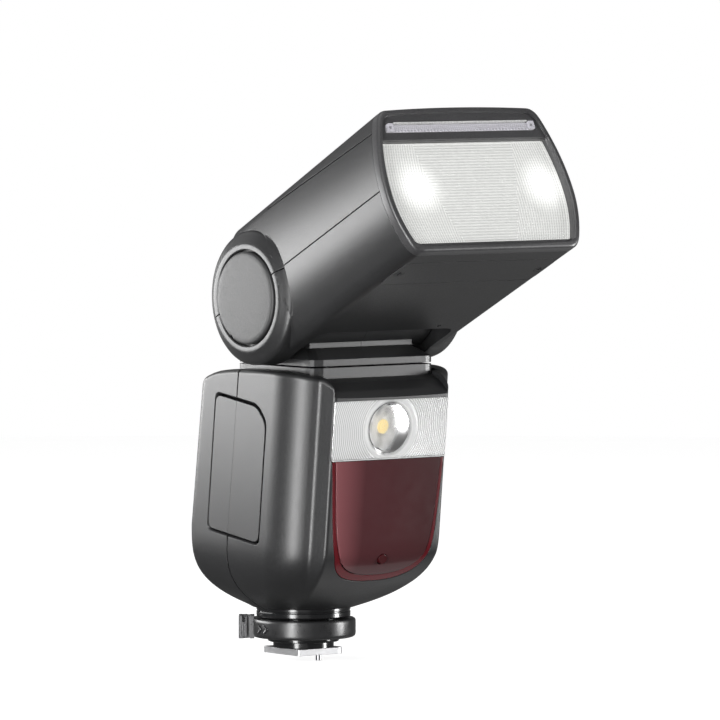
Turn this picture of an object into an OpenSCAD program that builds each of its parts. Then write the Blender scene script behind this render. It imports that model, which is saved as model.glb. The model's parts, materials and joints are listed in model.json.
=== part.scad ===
// Speedlight flash: a hot-shoe body, a swivelling neck and a tilting zoom head.
// +Z is up, the lens side faces -Y, and the origin is under the middle of the shoe plate.

/* [Foot] */
// Width of the shoe plate across the rails
plate_w = 18.6; // [18.5:0.05:18.7]
// Length of the shoe plate, front to back
plate_l = 19.6; // [18.6:0.1:20.4]
// Thickness of the shoe plate
plate_t = 2.0; // [1.9:0.05:2.1]
// Outer radius of the lock ring
ring_r = 16.9; // [16.2:0.1:17.6]
// Radius of the fixed collar above the lock ring
collar_r = 15.2; // [14.4:0.1:15.6]
// Radius of the locking pin
lock_pin_r = 0.9; // [0.8:0.05:1]

/* [Body] */
// Width of the body
body_w = 66; // [64:0.5:68]
// Distance from the foot's centre to the front face at the top of the lamp lens
body_front = 46.9; // [45.5:0.1:48]
// Distance from the foot's centre to the rear face at the top of the bowl
body_back = 19.7; // [19:0.1:21]
// Height of the body's shoulders
body_top = 93.4; // [93:0.1:93.6]
// Height where the bowl under the body begins to draw in
bowl_top = 42; // [40:0.5:44]
// Thickness of the casing walls
wall = 2; // [1.8:0.1:2.2]

/* [Front windows] */
// Height of the lamp lens's upper edge
lens_top = 84.1; // [83.5:0.1:84.5]
// Height of the lamp lens's lower edge
lens_low = 65.4; // [64:0.1:67]
// Half the width of the lamp lens
lens_half = 22.7; // [22:0.1:23]

/* [Neck] */
// Distance of the swivel axis in front of the foot's centre
swivel_y = -17; // [-18:0.1:-16]
// Half the width of the swivel plates
table_half_x = 24.6; // [24:0.1:25]
// Half the depth of the swivel plates
table_half_y = 20.6; // [20:0.1:21]
// Radius of the barrel that the head tilts on
barrel_r = 18.5; // [17.5:0.1:18.6]
// Half the length of the barrel
barrel_half = 26; // [25:0.1:26.2]
// Radius of the tilt axle
axle_r = 5; // [4:0.1:6]

/* [Head] */
// Height of the tilt axis
hinge_z = 116.4; // [116.2:0.1:118]
// Distance of the tilt axis in front of the foot's centre
hinge_y = -18.8; // [-19.5:0.1:-18]
// Angle of the head above level at rest
head_tilt = 26.3; // [0:0.1:90]
// Length from the tilt axis to the front of the head
head_l = 81.4; // [78:0.1:84]
// Greatest half width of the head
head_half = 37.4; // [36.8:0.1:38]
// Height of the head's flat underside below the tilt axis
head_low = 21; // [20.6:0.1:21.2]
// Height of the head's roof above the tilt axis, at the front
head_high = 28.4; // [28:0.1:29]
// Radius of the rounded rear of the head
drum_r = 21.4; // [21:0.1:21.5]
// Radius of the round hinge caps
cap_r = 14.8; // [14:0.1:15.2]
// Height of the joint between the upper and lower head shells
split_v = 1.2; // [0.8:0.1:1.6]

/* [Hidden] */

$fn = 64;
eps = 0.01;
gap = 0.1;              // line between two shells

black = "#232326";
charcoal = "#3a3b3e";
dark = "#161617";
metal = "#b9bbbd";
red = "#5a161c";
clear = "#dfe3e6";

// Body outline
front_lean = 0.1;       // how far the front falls back for each mm down
back_lean = 0.135;      // how far the rear comes forward for each mm up
seam_lean = 0.115;      // slope of the joint between the two body shells
seam_y = -9.3;          // where that joint is at height seam_z
seam_z = 91.7;
corner_r = 16.6;        // front corner columns
corner_in = 19.9;       // their centres, behind the front face
block_foot = 8.6;       // where the window block's side meets them, out from their centres
raise = 2.4;            // how far the window block stands proud of the columns
back_r = 4.7;           // rear corners
foot_hole_r = 16.6;     // body outline at its lowest
body_low = 15.2;
bowl_power = 3.3;
side_crown = 0.04;      // the flat sides bulge by this much
body_mid_y = -13;

// Swivel stack
deck_z = 90.9;          // floor of the pocket that the turntable sits in
table_z = 94.4;         // top of the turntable
plate_z = 94.9;         // underside of the swivel plate
skirt_z = 97;           // foot of the neck's skirt
ridge_z = 100.3;        // ridge where the skirt meets the barrel
ridge_half_x = 21;
ridge_half_y = 14;
table_r = 4;            // corner radius of the plates
hub_r = 9;
hub_bore_r = 5;
running = 0.06;         // radial clearance of a shaft that turns or slides
loose = 0.3;            // clearance between faces that pass each other

// Head section: the sides bulge most at bulge_v
bulge_v = -1.3;
bulge_up = 0.0077;
bulge_down = 0.0135;
taper = 0.6;            // how much narrower the head is at its tilt axis
roof_fall = 0.03;       // how much lower the roof is for each mm towards the rear
ear_in = 27;            // inner face of the ears each side of the neck
ear_out = 37.1;
rear_s = -4.7;          // where the roof ends
bezel_s = 78;           // rear of the front bezel
bay_s = 21.5;           // rear of the lamp compartment
cut_s = 19;             // front of the neck's cut-out in the underside
tray_v = 19.2;          // card tray
slot_low = 19.9;
slot_high = 23.3;
window_high = 17.1;
window_low = -17.7;

rail_x = 28.5;
rail_v = -9;
screw_x = 29.5;
screw_v = 6;
rail_r = 1.5;
zoom_travel = 20;

dial_z = 37;
dial_r = 10.5;
post_r = 5.9;

function mix(a, b, t) = a + (b - a) * t;

// Corners of a polygon replaced by short curves that reach a distance r along each side
function toward(p, q, r) = p + (q - p) * min(0.49, r / norm(q - p));
function soften(pts, r, n = 4) = [
    for (i = [0:len(pts) - 1])
        let(p = pts[i], a = toward(p, pts[(i + len(pts) - 1) % len(pts)], r),
            b = toward(p, pts[(i + 1) % len(pts)], r))
            for (k = [0:n]) let(t = k / n) mix(mix(a, p, t), mix(p, b, t), t)];
function box_outline(half_x, half_y, r) =
    soften([[-half_x, -half_y], [half_x, -half_y], [half_x, half_y], [-half_x, half_y]], r);

// A closed solid through rings of points, bottom ring first
module loft(rings) {
    n = len(rings[0]);
    m = len(rings);
    sides = [for (k = [0:m - 2]) for (i = [0:n - 1])
        let(j = (i + 1) % n) [k * n + i, (k + 1) * n + i, (k + 1) * n + j, k * n + j]];
    low = [[for (i = [0:n - 1]) i]];
    high = [[for (i = [n - 1:-1:0]) (m - 1) * n + i]];
    polyhedron([for (ring = rings) each ring], concat(low, sides, high), convexity = 6);
}

// Frames
module in_head() { translate([0, hinge_y, hinge_z]) rotate([-head_tilt, 0, 0]) children(); }
module at_turntable_screws() {
    for (x = [-18, 18], y = [-14, 14]) translate([x, swivel_y + y, 80]) children();
}
module along_x() { rotate([0, 90, 0]) children(); }
module along_s() { rotate([90, 0, 0]) children(); }
module at_swivel(z) { translate([0, swivel_y, z]) children(); }
module at_back() {
    translate([0, body_back, bowl_top]) rotate([asin(back_lean), 0, 0]) children();
}
module at_front() {
    translate([0, -body_front, lens_top]) rotate([asin(front_lean), 0, 0]) children();
}
module at_battery() { translate([0, -8.3, 61.5]) rotate([atan(seam_lean), 0, 0]) children(); }
module peg(r, y0, y1) { translate([0, y1, 0]) rotate([90, 0, 0]) cylinder(r = r, h = y1 - y0); }
module block(x0, x1, y0, y1, z0, z1) { translate([x0, y0, z0]) cube([x1 - x0, y1 - y0, z1 - z0]); }
module bar_x(r, x0, x1) { translate([x0, 0, 0]) along_x() cylinder(r = r, h = x1 - x0); }
module mirrored() {
    children();
    mirror([1, 0, 0]) children();
}

// ---- Body outline ------------------------------------------------------------
function front_y(z) = -body_front + front_lean * (lens_top - z);
function back_y(z) = body_back - back_lean * (max(z, bowl_top) - bowl_top);
function fill(z, t) = let(u = (z - body_low - t) / (bowl_top - body_low - t))
    u >= 1 ? 1 : 1 - pow(1 - max(u, 0), bowl_power);
function crown_y(x) = 0.0006 * x * x;
function block_fade(z) = min(1, max(0, (z - 22) / 12));

// Right half of the outline at height z, from the front round to the rear; t is the inset
function right_half(z, t, proud) = let(
    yf = front_y(z) + t, yb = back_y(z) - t, w = body_w / 2 - t, cy = front_y(z) + corner_in,
    cx = body_w / 2 - corner_r, r = corner_r - t, lift = raise * proud * block_fade(z),
    knee = asin(block_foot / corner_r), block = [lens_half + 0.1, yf + raise - lift])
    concat(
        [for (x = [0, 8, 16]) [x, yf + raise - lift + crown_y(x)]],
        [[block.x, max(block.y, block.y * proud + (1 - proud) * (cy - r * cos(18)))
            + crown_y(block.x)]],
        [for (a = [knee, 47, 60, 75, 90]) [cx + r * sin(a), cy - r * cos(a)]],
        [[w + side_crown, mix(cy, yb, 0.33)], [w + side_crown, mix(cy, yb, 0.66)]],
        [for (a = [0, 30, 60, 90])
            [w - back_r + back_r * cos(a), yb - back_r + back_r * sin(a) - crown_y(w - back_r)]],
        [[14, yb - crown_y(14)], [0, yb]]);
function whole(half) = concat(half,
    [for (i = [len(half) - 2:-1:1]) [-half[i].x, half[i].y]]);
function body_ring(z, t, proud) = let(g = fill(z, t), out = whole(right_half(z, t, proud)))
    [for (p = out) let(a = atan2(p.y - body_mid_y, p.x), r = foot_hole_r - t)
        [mix(r * cos(a), p.x, g), mix(r * sin(a), p.y, g), z]];
bowl_steps = [0, 0.035, 0.08, 0.15, 0.24, 0.35, 0.48, 0.63, 0.8, 1];
module body_solid(t = 0, proud = 1, top = 96) {
    loft([for (u = bowl_steps) body_ring(mix(body_low + t, bowl_top, u), t, proud),
          body_ring(lens_top, t, proud), body_ring(top, t, proud)]);
}
// Side view of the shoulders, pulled along X
module crown(t = 0) {
    outline = [[-60, 0], [-60, 84], [-47.6, 84 - t], [-46.6, 88.4 - t], [-44.5, 90.4 - t],
        [-41, 91.6 - t], [-33, 92.9 - t], [-25, body_top - t], [-8, 93.2 - t], [1, 92.4 - t],
        [7, 90.9 - t], [10.6, 89.2 - t], [13.4, 86.4 - t], [15, 82 - t], [40, 60], [40, 0]];
    rotate([90, 0, 90]) translate([0, 0, -50]) linear_extrude(100) polygon(outline);
}
// Space over the deck between the shoulders, with the bevel above the lamp lens
module deck_pocket() {
    outline = [[-60, lens_top + 0.2], [-47.6, lens_top + 0.2], [-44.8, 87.4], [-41.4, 89.8],
        [swivel_y - table_half_y - 0.4, deck_z], [5.4, deck_z], [7.4, 100], [-60, 100]];
    rotate([90, 0, 90]) translate([0, 0, -lens_half - 0.1]) linear_extrude(2 * lens_half + 0.2)
        polygon(outline);
    block(-26, 26, swivel_y - table_half_y - 0.4, 5.4, deck_z, 100);
}
module seam_side(front, shift) {
    outline = [for (z = [0, 110]) [seam_y + seam_lean * (seam_z - z) + shift, z]];
    far = front ? -100 : 100;
    rotate([90, 0, 90]) translate([0, 0, -50]) linear_extrude(100)
        polygon([outline[0], outline[1], [far, 110], [far, 0]]);
}
// Outline of the battery's end in the side of the body, in Y and Z
battery_outline = [[-19.4, 38.3], [7.1, 41.9], [2.5, 84.6], [-18.9, 81.6], [-23.4, 76.4]];
module battery_prism(grow, x0, x1) {
    c = [-8.3, 61.5];
    pts = soften([for (p = battery_outline) p + (p - c) * grow / norm(p - c)], 2.6);
    translate([x0, 0, 0]) rotate([90, 0, 90]) linear_extrude(x1 - x0) polygon(pts);
}
// Outline of the red window in X and Z
window_side = [[22.3, lens_low - 0.5], [21.6, 55], [20.9, 46], [20, 38], [18.2, 32], [15, 28.6],
    [10.5, 26.6], [5, 25.8]];
module window_prism(grow) {
    half = [for (p = window_side) [p.x + grow, p.y < 40 ? p.y - grow : p.y]];
    far = concat(half, [for (i = [len(half) - 1:-1:0]) [-half[i].x, half[i].y]]);
    translate([0, -20, 0]) rotate([90, 0, 0]) linear_extrude(40) polygon(far);
}
module casing() {
    difference() {
        intersection() { body_solid(); crown(); }
        intersection() { body_solid(t = wall, proud = 0, top = 95); crown(t = 2 * wall + 0.4); }
        deck_pocket();
        translate([0, 0, body_low - 1]) cylinder(r = collar_r + 0.02, h = 5);
        at_swivel(80) cylinder(r = hub_r + loose, h = 20);
        at_turntable_screws() cylinder(r = 1.5, h = 20);
        battery_prism(0.35, -50, -29.4);
        at_front() block(-lens_half - gap, lens_half + gap, -6, 24, lens_low - lens_top, gap);
        window_prism(gap);
    }
}
module front_shell() {
    color(charcoal) intersection() { casing(); seam_side(true, -gap / 2); }
}
module rear_shell() {
    color(charcoal) difference() {
        union() {
            intersection() { casing(); seam_side(false, gap / 2); }
            translate([0, 0, dial_z]) peg(12.4, 15.6, 18.6);
        }
        translate([0, 0, dial_z]) {
            difference() { peg(dial_r + 0.3, 16.8, 24); peg(post_r, 10, 19.4); }
            peg(4.9, 10, 24);
        }
        at_back() block(-22.2, 22.2, -3, 3, 15.3, 41.7);
        for (k = [0:3]) at_back() translate([-16.5 + 11 * k, 0, 10.6]) block(-3.8, 3.8, -9, 3, -2, 2);
        for (x = [-20.5, 20.5]) translate([x, 0, 43.5]) peg(3.3, 10, 24);
        translate([-20.5, 0, 32.5]) peg(3.3, 10, 24);
        block(17.2, 23.8, 10, 24, 30.6, 34.4);
        at_back() block(-27.4, -24, -3, 3, 17.8, 27.4);
        translate([28, 10, 52]) along_x() cylinder(r = 3.05, h = 10);
        block(28, 40, 6.2, 11.8, 58.4, 70);
    }
}

module turntable() {
    color(charcoal) difference() {
        at_swivel(deck_z) linear_extrude(table_z - deck_z)
            polygon(box_outline(table_half_x, table_half_y, table_r));
        at_swivel(deck_z - 1) cylinder(r = hub_r + running, h = 6);
        at_turntable_screws() cylinder(r = 1.42, h = 13.4);
    }
}

// ---- Front of the body ----------------------------------------------------------
module front_skin(t_out, t_in) {
    difference() { body_solid(t = t_out, top = 88); body_solid(t = t_in, top = 90); }
}
module lamp_lens() {
    color(clear) at_front() block(-lens_half, lens_half, 0.15, 2.6, lens_low - lens_top + 0.1, 0);
}
module lamp_board() {
    color("#2f5f48") {
        at_front() block(-14, 14, 8.2, 9.4, -17, -2);
        at_front() translate([0, 0, -9.2]) peg(2.1, 7.2, 8.2 + eps);
    }
}
module lamp_reflector() {
    color(metal) at_front() translate([0, 0, -9.2]) rotate([-90, 0, 0]) rotate_extrude()
        polygon([[2.6, 7.1], [7.2, 3], [7.9, 3], [3.2, 8.1], [2.6, 8.1]]);
}
module af_window() {
    color(red) intersection() { front_skin(-0.3, 1.7); window_prism(0); }
}
module af_emitter() {
    color(dark) translate([0, 0, 48]) {
        peg(5, -39, -33);
        block(-7, 7, -33 - eps, -31.4, -7, 7);
    }
}
module optic_sensor() {
    color(dark) translate([0, 0, 33.4]) {
        peg(2, -38, -35);
        block(-4, 4, -35 - eps, -33.6, -4, 4);
    }
}

// ---- Rear of the body -------------------------------------------------------------
module lcd_window() { color("#0c0d10") at_back() block(-22, 22, -2.2, 0.2, 15.5, 41.5); }
module lcd_module() { color("#7d93a0") at_back() block(-23, 23, -5.6, -3.2, 14.6, 42); }
module main_board() {
    color("#1f5a3c") difference() {
        at_back() block(-28.6, 20, -8.4, -6.9, -6, 40.5);
        translate([0, 0, dial_z]) peg(3, 8, 16);
    }
}
module main_capacitor() { color("#2a2d5a") translate([0, -29.8, 51]) bar_x(6, 8.2, 25); }
module battery_bay() {
    color(dark) at_battery() difference() {
        block(-29.2, 28.6, -12.9, 12.9, -21.9, 21.9);
        block(-40, 27.6, -11.9, 11.9, -20.9, 20.9);
    }
}
module battery_contacts() {
    color("gold") at_battery() for (z = [-12, -4, 4, 12]) block(26.9, 27.6, -3, 3, z - 1.2, z + 1.2);
}
module sync_jack() {
    color(metal) translate([0, 10, 52]) difference() {
        bar_x(3, 21, 32.8);
        bar_x(1.25, 22.8, 34);
    }
}
module usb_socket() {
    color(metal) difference() {
        block(27.4, 32.8, 6.4, 11.6, 58.6, 69.8);
        block(28.4, 34, 7.6, 10.4, 59.8, 68.6);
    }
}
module body_screws() {
    color(metal) at_turntable_screws() {
        translate([0, 0, 6.8]) cylinder(r = 1.4, h = 6.6);
        translate([0, 0, 5.2]) cylinder(r = 2.4, h = 1.6 + eps);
    }
}

// ---- Foot --------------------------------------------------------------------------
base_core_r = 12.2;
base_neck_r = 10.8;
module foot_base() {
    color(black) difference() {
        rotate_extrude() polygon([[0, plate_t], [9.8, plate_t], [9.8, 3.9], [11.5, 3.9], [11.5, 5],
            [base_neck_r, 5], [base_neck_r, 6.6], [base_core_r, 6.6], [base_core_r, 11.85],
            [collar_r, 11.85], [collar_r, 17.2], [0, 17.2]]);
        translate([0, -8, 0]) cylinder(r = lock_pin_r + running, h = 12);
        for (p = small_contacts) translate([p.x, p.y, 0]) cylinder(r = 0.77, h = 5);
        cylinder(r = 1.32, h = 5);
    }
}
small_contacts = [for (x = [-3.75, -1.25, 1.25, 3.75]) [x, 4.3]];
module shoe_plate() {
    x = plate_w / 2;
    y = plate_l / 2;
    color(metal) difference() {
        linear_extrude(plate_t) polygon(concat([[-x + 0.4, -y], [-x, -y + 0.4]],
            [for (a = [180:-22.5:90]) [-x + 1.5 + 1.5 * cos(a), y - 1.5 + 1.5 * sin(a)]],
            [for (a = [90:-22.5:0]) [x - 1.5 + 1.5 * cos(a), y - 1.5 + 1.5 * sin(a)]],
            [for (a = [0:-22.5:-90]) [x - 2.5 + 2.5 * cos(a), -y + 2.5 + 2.5 * sin(a)]]));
        translate([0, -8, -1]) cylinder(r = lock_pin_r + 2 * running, h = 5);
        for (p = small_contacts) translate([p.x, p.y, -1]) cylinder(r = 1, h = 5);
        translate([0, 0, -1]) cylinder(r = 1.7, h = 5);
    }
}
module contact(r) {
    translate([0, 0, r - 0.9]) {
        cylinder(r = r, h = 4.6 - r);
        sphere(r = r);
    }
}
module contact_pins() {
    color("#2b2b2b") {
        for (p = small_contacts) translate([p.x, p.y, 0]) contact(0.75);
        contact(1.3);
    }
}
lever_angle = 142;
module lock_ring() {
    color(black) {
        difference() {
            union() {
                rotate_extrude() polygon([[base_neck_r + 0.2, 5.3], [ring_r - 0.8, 5.3],
                    [ring_r, 6], [ring_r, 10.8], [ring_r - 0.7, 11.5], [base_core_r + 0.15, 11.5],
                    [base_core_r + 0.15, 6.35], [base_neck_r + 0.2, 6.35]]);
                rotate([0, 0, lever_angle]) block(ring_r - 1.2, ring_r + 4, -3.8, 3.8, 4.9, 12.2);
            }
            rotate([0, 0, lever_angle]) for (y = [-2.6, 0, 2.6])
                block(ring_r + 3.4, ring_r + 6, y - 0.5, y + 0.5, 4, 13);
            rotate([0, 0, lever_angle]) block(ring_r + 0.2, ring_r + 1.4, -5, -2.4, 4, 13);
        }
    }
}
module lock_pin() {
    color(metal) translate([0, -8, -1.9]) cylinder(r = lock_pin_r, h = 11);
}

// ---- Neck --------------------------------------------------------------------------
module swivel_plate() {
    color(charcoal) difference() {
        union() {
            at_swivel(plate_z) linear_extrude(skirt_z - plate_z)
                polygon(box_outline(table_half_x, table_half_y, table_r));
            hull() {
                at_swivel(skirt_z) linear_extrude(eps)
                    polygon(box_outline(table_half_x, table_half_y, table_r));
                at_swivel(ridge_z - eps) linear_extrude(eps)
                    polygon(box_outline(ridge_half_x, ridge_half_y, table_r));
            }
        }
        at_swivel(plate_z - 1) cylinder(r = hub_bore_r, h = 12);
    }
}
module swivel_hub() {
    color(metal) difference() {
        union() {
            at_swivel(86) cylinder(r = hub_r, h = plate_z - 86);
            at_swivel(84.6) cylinder(r = 11.5, h = 2);
        }
        at_swivel(80) cylinder(r = hub_bore_r, h = 20);
    }
}
module neck_half() {
    difference() {
        union() {
            translate([0, hinge_y, hinge_z]) bar_x(barrel_r, gap / 2, barrel_half);
            block(gap / 2, ridge_half_x - 0.4, swivel_y - ridge_half_y + 0.6,
                swivel_y + ridge_half_y - 0.6, ridge_z, 112);
        }
        block(-1, 40, -60, 20, 80, ridge_z);
        translate([0, hinge_y, hinge_z]) bar_x(axle_r + running, -1, 40);
        translate([0, hinge_y, hinge_z]) difference() {
            bar_x(barrel_r - wall, wall, barrel_half - wall);
            bar_x(axle_r + 2.5, 0, 40);
        }
        at_swivel(96) intersection() {
            cylinder(r = hub_bore_r + 3, h = 13);
            block(wall, 20, -20, 20, 0, 20);
        }
    }
}
module neck_cover_right() { color(charcoal) neck_half(); }
module neck_cover_left() { color(charcoal) mirror([1, 0, 0]) neck_half(); }
module tilt_axle() {
    color(metal) translate([0, hinge_y, hinge_z]) bar_x(axle_r, -33.6, 33.6);
}

// ---- Head --------------------------------------------------------------------------
// In the head's own frame the lens faces -Y, so a distance s ahead of the axis is y = -s
function head_w(s) = head_half - taper * (head_l - s) / head_l;
function roof(s) = head_high - roof_fall * (head_l - s);
function side_x(s, v) = head_w(s) - (v > bulge_v ? bulge_up : bulge_down) * pow(v - bulge_v, 2);
function roof_drop(x) = x < 12 ? 0.013 * x : x < 23 ? 0.16 + 0.035 * (x - 12)
    : 0.545 + 0.055 * (x - 23);
function head_half_ring(s, t) = let(top = roof(s) - t, low = -head_low + t)
    concat(
        [for (x = [0, 12, 23, side_x(s, top - 4.6) - t - 4.6]) [x, top - roof_drop(x)]],
        [for (k = [1:4]) let(a = 90 * k / 4, ex = side_x(s, top - 4.6) - t)
            [mix(ex - 4.6, ex, sin(a)), top - 4.6 + 3.8 * cos(a)]],
        [for (v = [17, 11, 5, -1.3, -6, -10, -14, -17]) [side_x(s, v) - t, v]],
        [for (k = [1:3]) let(a = 90 * k / 3, ex = side_x(s, -17) - t)
            [ex - 3.2 + 3.2 * cos(a), mix(-17, low, sin(a))]],
        [[15, low], [0, low]]);
function head_ring(s, t) = [for (p = whole(head_half_ring(s, t))) [p.x, -s, p.y]];
module head_solid(t, s0, s1) { loft([head_ring(s1, t), head_ring(s0, t)]); }
module head_outline(s, t) {
    polygon([for (p = whole(head_half_ring(s, t))) [p.x, p.y]]);
}
module head_prism(s0, s1) { translate([0, -s0, 0]) along_s() linear_extrude(s1 - s0) children(); }

module ear() {
    along_x() rotate_extrude() polygon([[0, ear_in - 1], [drum_r, ear_in - 1], [drum_r, 33],
        [drum_r - 0.6, 34.9], [drum_r - 2.2, 36.3], [17.2, ear_out], [0, ear_out]]);
}
module cover_wedge(shift) {
    rise = 2.5 / 66;
    rotate([90, 0, 90]) translate([0, 0, -50]) linear_extrude(100)
        polygon([[-17, 23.1 + shift], [-17, 60], [-100, 60], [-100, 23.1 - 83 * rise + shift]]);
}
module head_hollow() {
    difference() {
        union() { head_solid(0, rear_s, bezel_s); mirrored() ear(); }
        head_solid(wall, bay_s, bezel_s + 3);
        bar_x(barrel_r + 0.7, -ear_in, ear_in);
        block(-ear_in, ear_in, -1, 60, -60, 60);
        block(-ear_in, ear_in, -cut_s, 60, -60, -10);
        bar_x(axle_r + running, -33.8, 33.8);
        mirrored() bar_x(cap_r + 0.3, 35.2, 50);
    }
}
module head_upper_shell() {
    color(charcoal) in_head() difference() {
        intersection() { head_hollow(); block(-60, 60, -100, 60, split_v + gap / 2, 60); }
        cover_wedge(-gap / 2);
    }
}
module head_lower_shell() {
    color(charcoal) in_head() difference() {
        intersection() { head_hollow(); block(-60, 60, -100, 60, -60, split_v - gap / 2); }
        block(-30.6, 30.6, -72.6, -56.4, -30, -head_low + 0.8);
        for (x = [-28, 28]) translate([x, -64.5, -30]) cylinder(r = 1.2, h = 14);
        translate([18.4, -21.3, -30]) cylinder(r = 0.7, h = 9.5);
    }
}
module head_top_cover() {
    color(charcoal) in_head() difference() {
        intersection() { head_solid(0, 17 + gap, bezel_s); cover_wedge(gap / 2); }
        head_solid(wall, 10, bezel_s + 3);
    }
}
function window_half(v) = side_x(head_l, v) - 2.3;
module lens_outline(t) {
    vs = [for (k = [0:8]) mix(window_low + t, window_high - t, k / 8)];
    right = [for (v = vs) [window_half(v) - t, v]];
    left = [for (k = [8:-1:0]) [-window_half(vs[k]) + t, vs[k]]];
    polygon(soften(concat(right, left), 1.4, 2));
}
module front_bezel() {
    color(black) in_head() difference() {
        union() {
            head_prism(bezel_s + gap, head_l - 0.8) head_outline(bezel_s, 0);
            head_prism(head_l - 0.8 - eps, head_l) head_outline(bezel_s, 0.7);
        }
        head_prism(bezel_s - 1, head_l + 1) lens_outline(0);
        head_prism(bezel_s - 1, head_l + 1) polygon([[-30.2, slot_low], [30.2, slot_low],
            [29.4, slot_high], [-29.4, slot_high]]);
    }
}
module flash_lens() {
    color(clear) in_head() head_prism(76.7, 78.9) lens_outline(0.12);
}
module hinge_caps() {
    color(charcoal) in_head() mirrored() along_x() rotate_extrude()
        polygon([[0, 35.25], [cap_r, 35.25], [cap_r, 37.2], [cap_r - 0.6, 37.7], [0, 37.8]]);
}
module screw_panel() {
    color(black) in_head() difference() {
        translate([0, -64.5, -head_low]) linear_extrude(0.7) polygon(box_outline(30.4, 7.9, 3));
        for (x = [-28, 28]) translate([x, -64.5, -30]) cylinder(r = 1.9, h = 14);
    }
}
module head_screws() {
    color(metal) in_head() for (x = [-28, 28]) translate([x, -64.5, -head_low]) difference() {
        union() {
            cylinder(r = 1.8, h = 0.7);
            cylinder(r = 1.15, h = 8);
        }
        block(-1.2, 1.2, -0.25, 0.25, -1, 0.4);
        block(-0.25, 0.25, -1.2, 1.2, -1, 0.4);
    }
}
module card_tray() {
    color(black) in_head() block(-29, 29, -bezel_s, -30, tray_v - 0.9, tray_v - 0.2);
}
module zoom_rails() {
    color(metal) in_head() mirrored() translate([rail_x, 0, rail_v]) peg(rail_r, -76.5, -bay_s);
}
module zoom_motor() {
    color(metal) in_head() translate([screw_x - 0.6, 0, screw_v]) peg(4.4, -29, -21.6);
}
module zoom_screw() {
    color(metal) in_head() translate([screw_x, 0, screw_v]) peg(rail_r, -76, -29);
}
module zoom_carriage() {
    color(dark) in_head() difference() {
        union() {
            block(-31.2, 31.2, -55, -52, -11, 9);
            mirrored() translate([rail_x, 0, rail_v]) peg(2.6, -62, -52);
            translate([screw_x, 0, screw_v]) peg(2.9, -58, -52);
        }
        mirrored() translate([rail_x, 0, rail_v]) peg(rail_r + running, -80, -40);
        translate([screw_x, 0, screw_v]) peg(rail_r + 0.1, -80, -40);
    }
}
module flash_reflector() {
    trough = [[-55, -5], [-62, -9], [-75, -13.6], [-75, 13.6], [-62, 9], [-55, 5]];
    inner = [[-56, -4], [-62.4, -7.9], [-77, -12.9], [-77, 12.9], [-62.4, 7.9], [-56, 4]];
    color("#e8e8e8") in_head() difference() {
        rotate([90, 0, 90]) translate([0, 0, -25]) linear_extrude(50) polygon(trough);
        rotate([90, 0, 90]) translate([0, 0, -24]) linear_extrude(48) polygon(inner);
        translate([0, -60, 0]) bar_x(2.3, -30, 30);
    }
}
module flash_tube() {
    color(clear) in_head() translate([0, -60, 0]) bar_x(2, -27, 27);
}
module bounce_card() {
    color("white") in_head() block(-26.6, 26.6, -head_l + 0.4, -34, 22, 22.6);
}
module wide_panel() {
    color("#c9c6d4") in_head() {
        block(-27, 27, -head_l + 0.5, -33, tray_v + 0.9, 21.6);
        mirrored() block(27 - eps, 29.2, -head_l + 0.5, -head_l + 4, slot_low + 0.3, 21.6);
    }
}

// ---- Battery -------------------------------------------------------------------------
module battery_pack() {
    difference() {
        union() {
            battery_prism(0, -body_w / 2, -body_w / 2 + wall);
            intersection() {
                at_battery() block(-body_w / 2 + wall - eps, 26.4, -11.5, 11.5, -20.5, 20.5);
                battery_prism(-0.2, -40, 40);
            }
        }
        at_battery() block(-28, 25.4, -9.5, 9.5, -19, 19);
    }
}
module battery_case_front() {
    color(charcoal) intersection() {
        battery_pack();
        seam_side(true, -gap / 2);
    }
}
module battery_case_rear() {
    color(charcoal) intersection() {
        battery_pack();
        seam_side(false, gap / 2);
    }
}
module battery_cells() {
    color("#3c7fb8") at_battery() for (z = [-9.7, 9.7]) translate([0, 0, z]) bar_x(9.2, -27.4, 24);
}
module battery_latch() {
    color(black) at_back() {
        block(-27.2, -24.2, -2.9 - eps, 0.9, 18, 24);
        block(-27.9, -23.6, -4.6, -2.9, 16.5, 25.5);
    }
}

// ---- Controls --------------------------------------------------------------------------
module control_dial() {
    color(black) translate([0, 0, dial_z]) difference() {
        peg(dial_r, 17.1, 21.2);
        peg(post_r + running, 10, 30);
        for (a = [0:15:345]) rotate([0, a, 0]) translate([dial_r + 0.35, 0, 0]) peg(0.7, 19.9, 30);
    }
}
module set_button() {
    color(black) translate([0, 0, dial_z]) {
        peg(4.84, 15.8, 20.6);
        peg(2.4, 12, 15.8 + eps);
    }
}
module soft_key(k) {
    color(black) at_back() translate([-16.5 + 11 * k, 0, 10.6]) {
        block(-3.6, 3.6, -3, 0.9, -1.8, 1.8);
        block(-3, 3, -3.6, -3 + eps, -2.6, 2.6);
    }
}
module soft_key_1() { soft_key(0); }
module soft_key_2() { soft_key(1); }
module soft_key_3() { soft_key(2); }
module soft_key_4() { soft_key(3); }
module round_button(x, z) {
    color(black) translate([x, 0, z]) {
        peg(3.1, 16.4, 20.5);
        peg(4, 15, 16.4 + eps);
    }
}
module mode_button() { round_button(-20.5, 43.5); }
module menu_button() { round_button(-20.5, 32.5); }
module test_button() { round_button(20.5, 43.5); }
module power_switch() {
    color(black) {
        block(17.4, 20.4, 16.4, 20.8, 30.8, 34.2);
        block(15.2, 22.6, 14.4, 16.4 + eps, 29.4, 35.6);
    }
}

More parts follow.
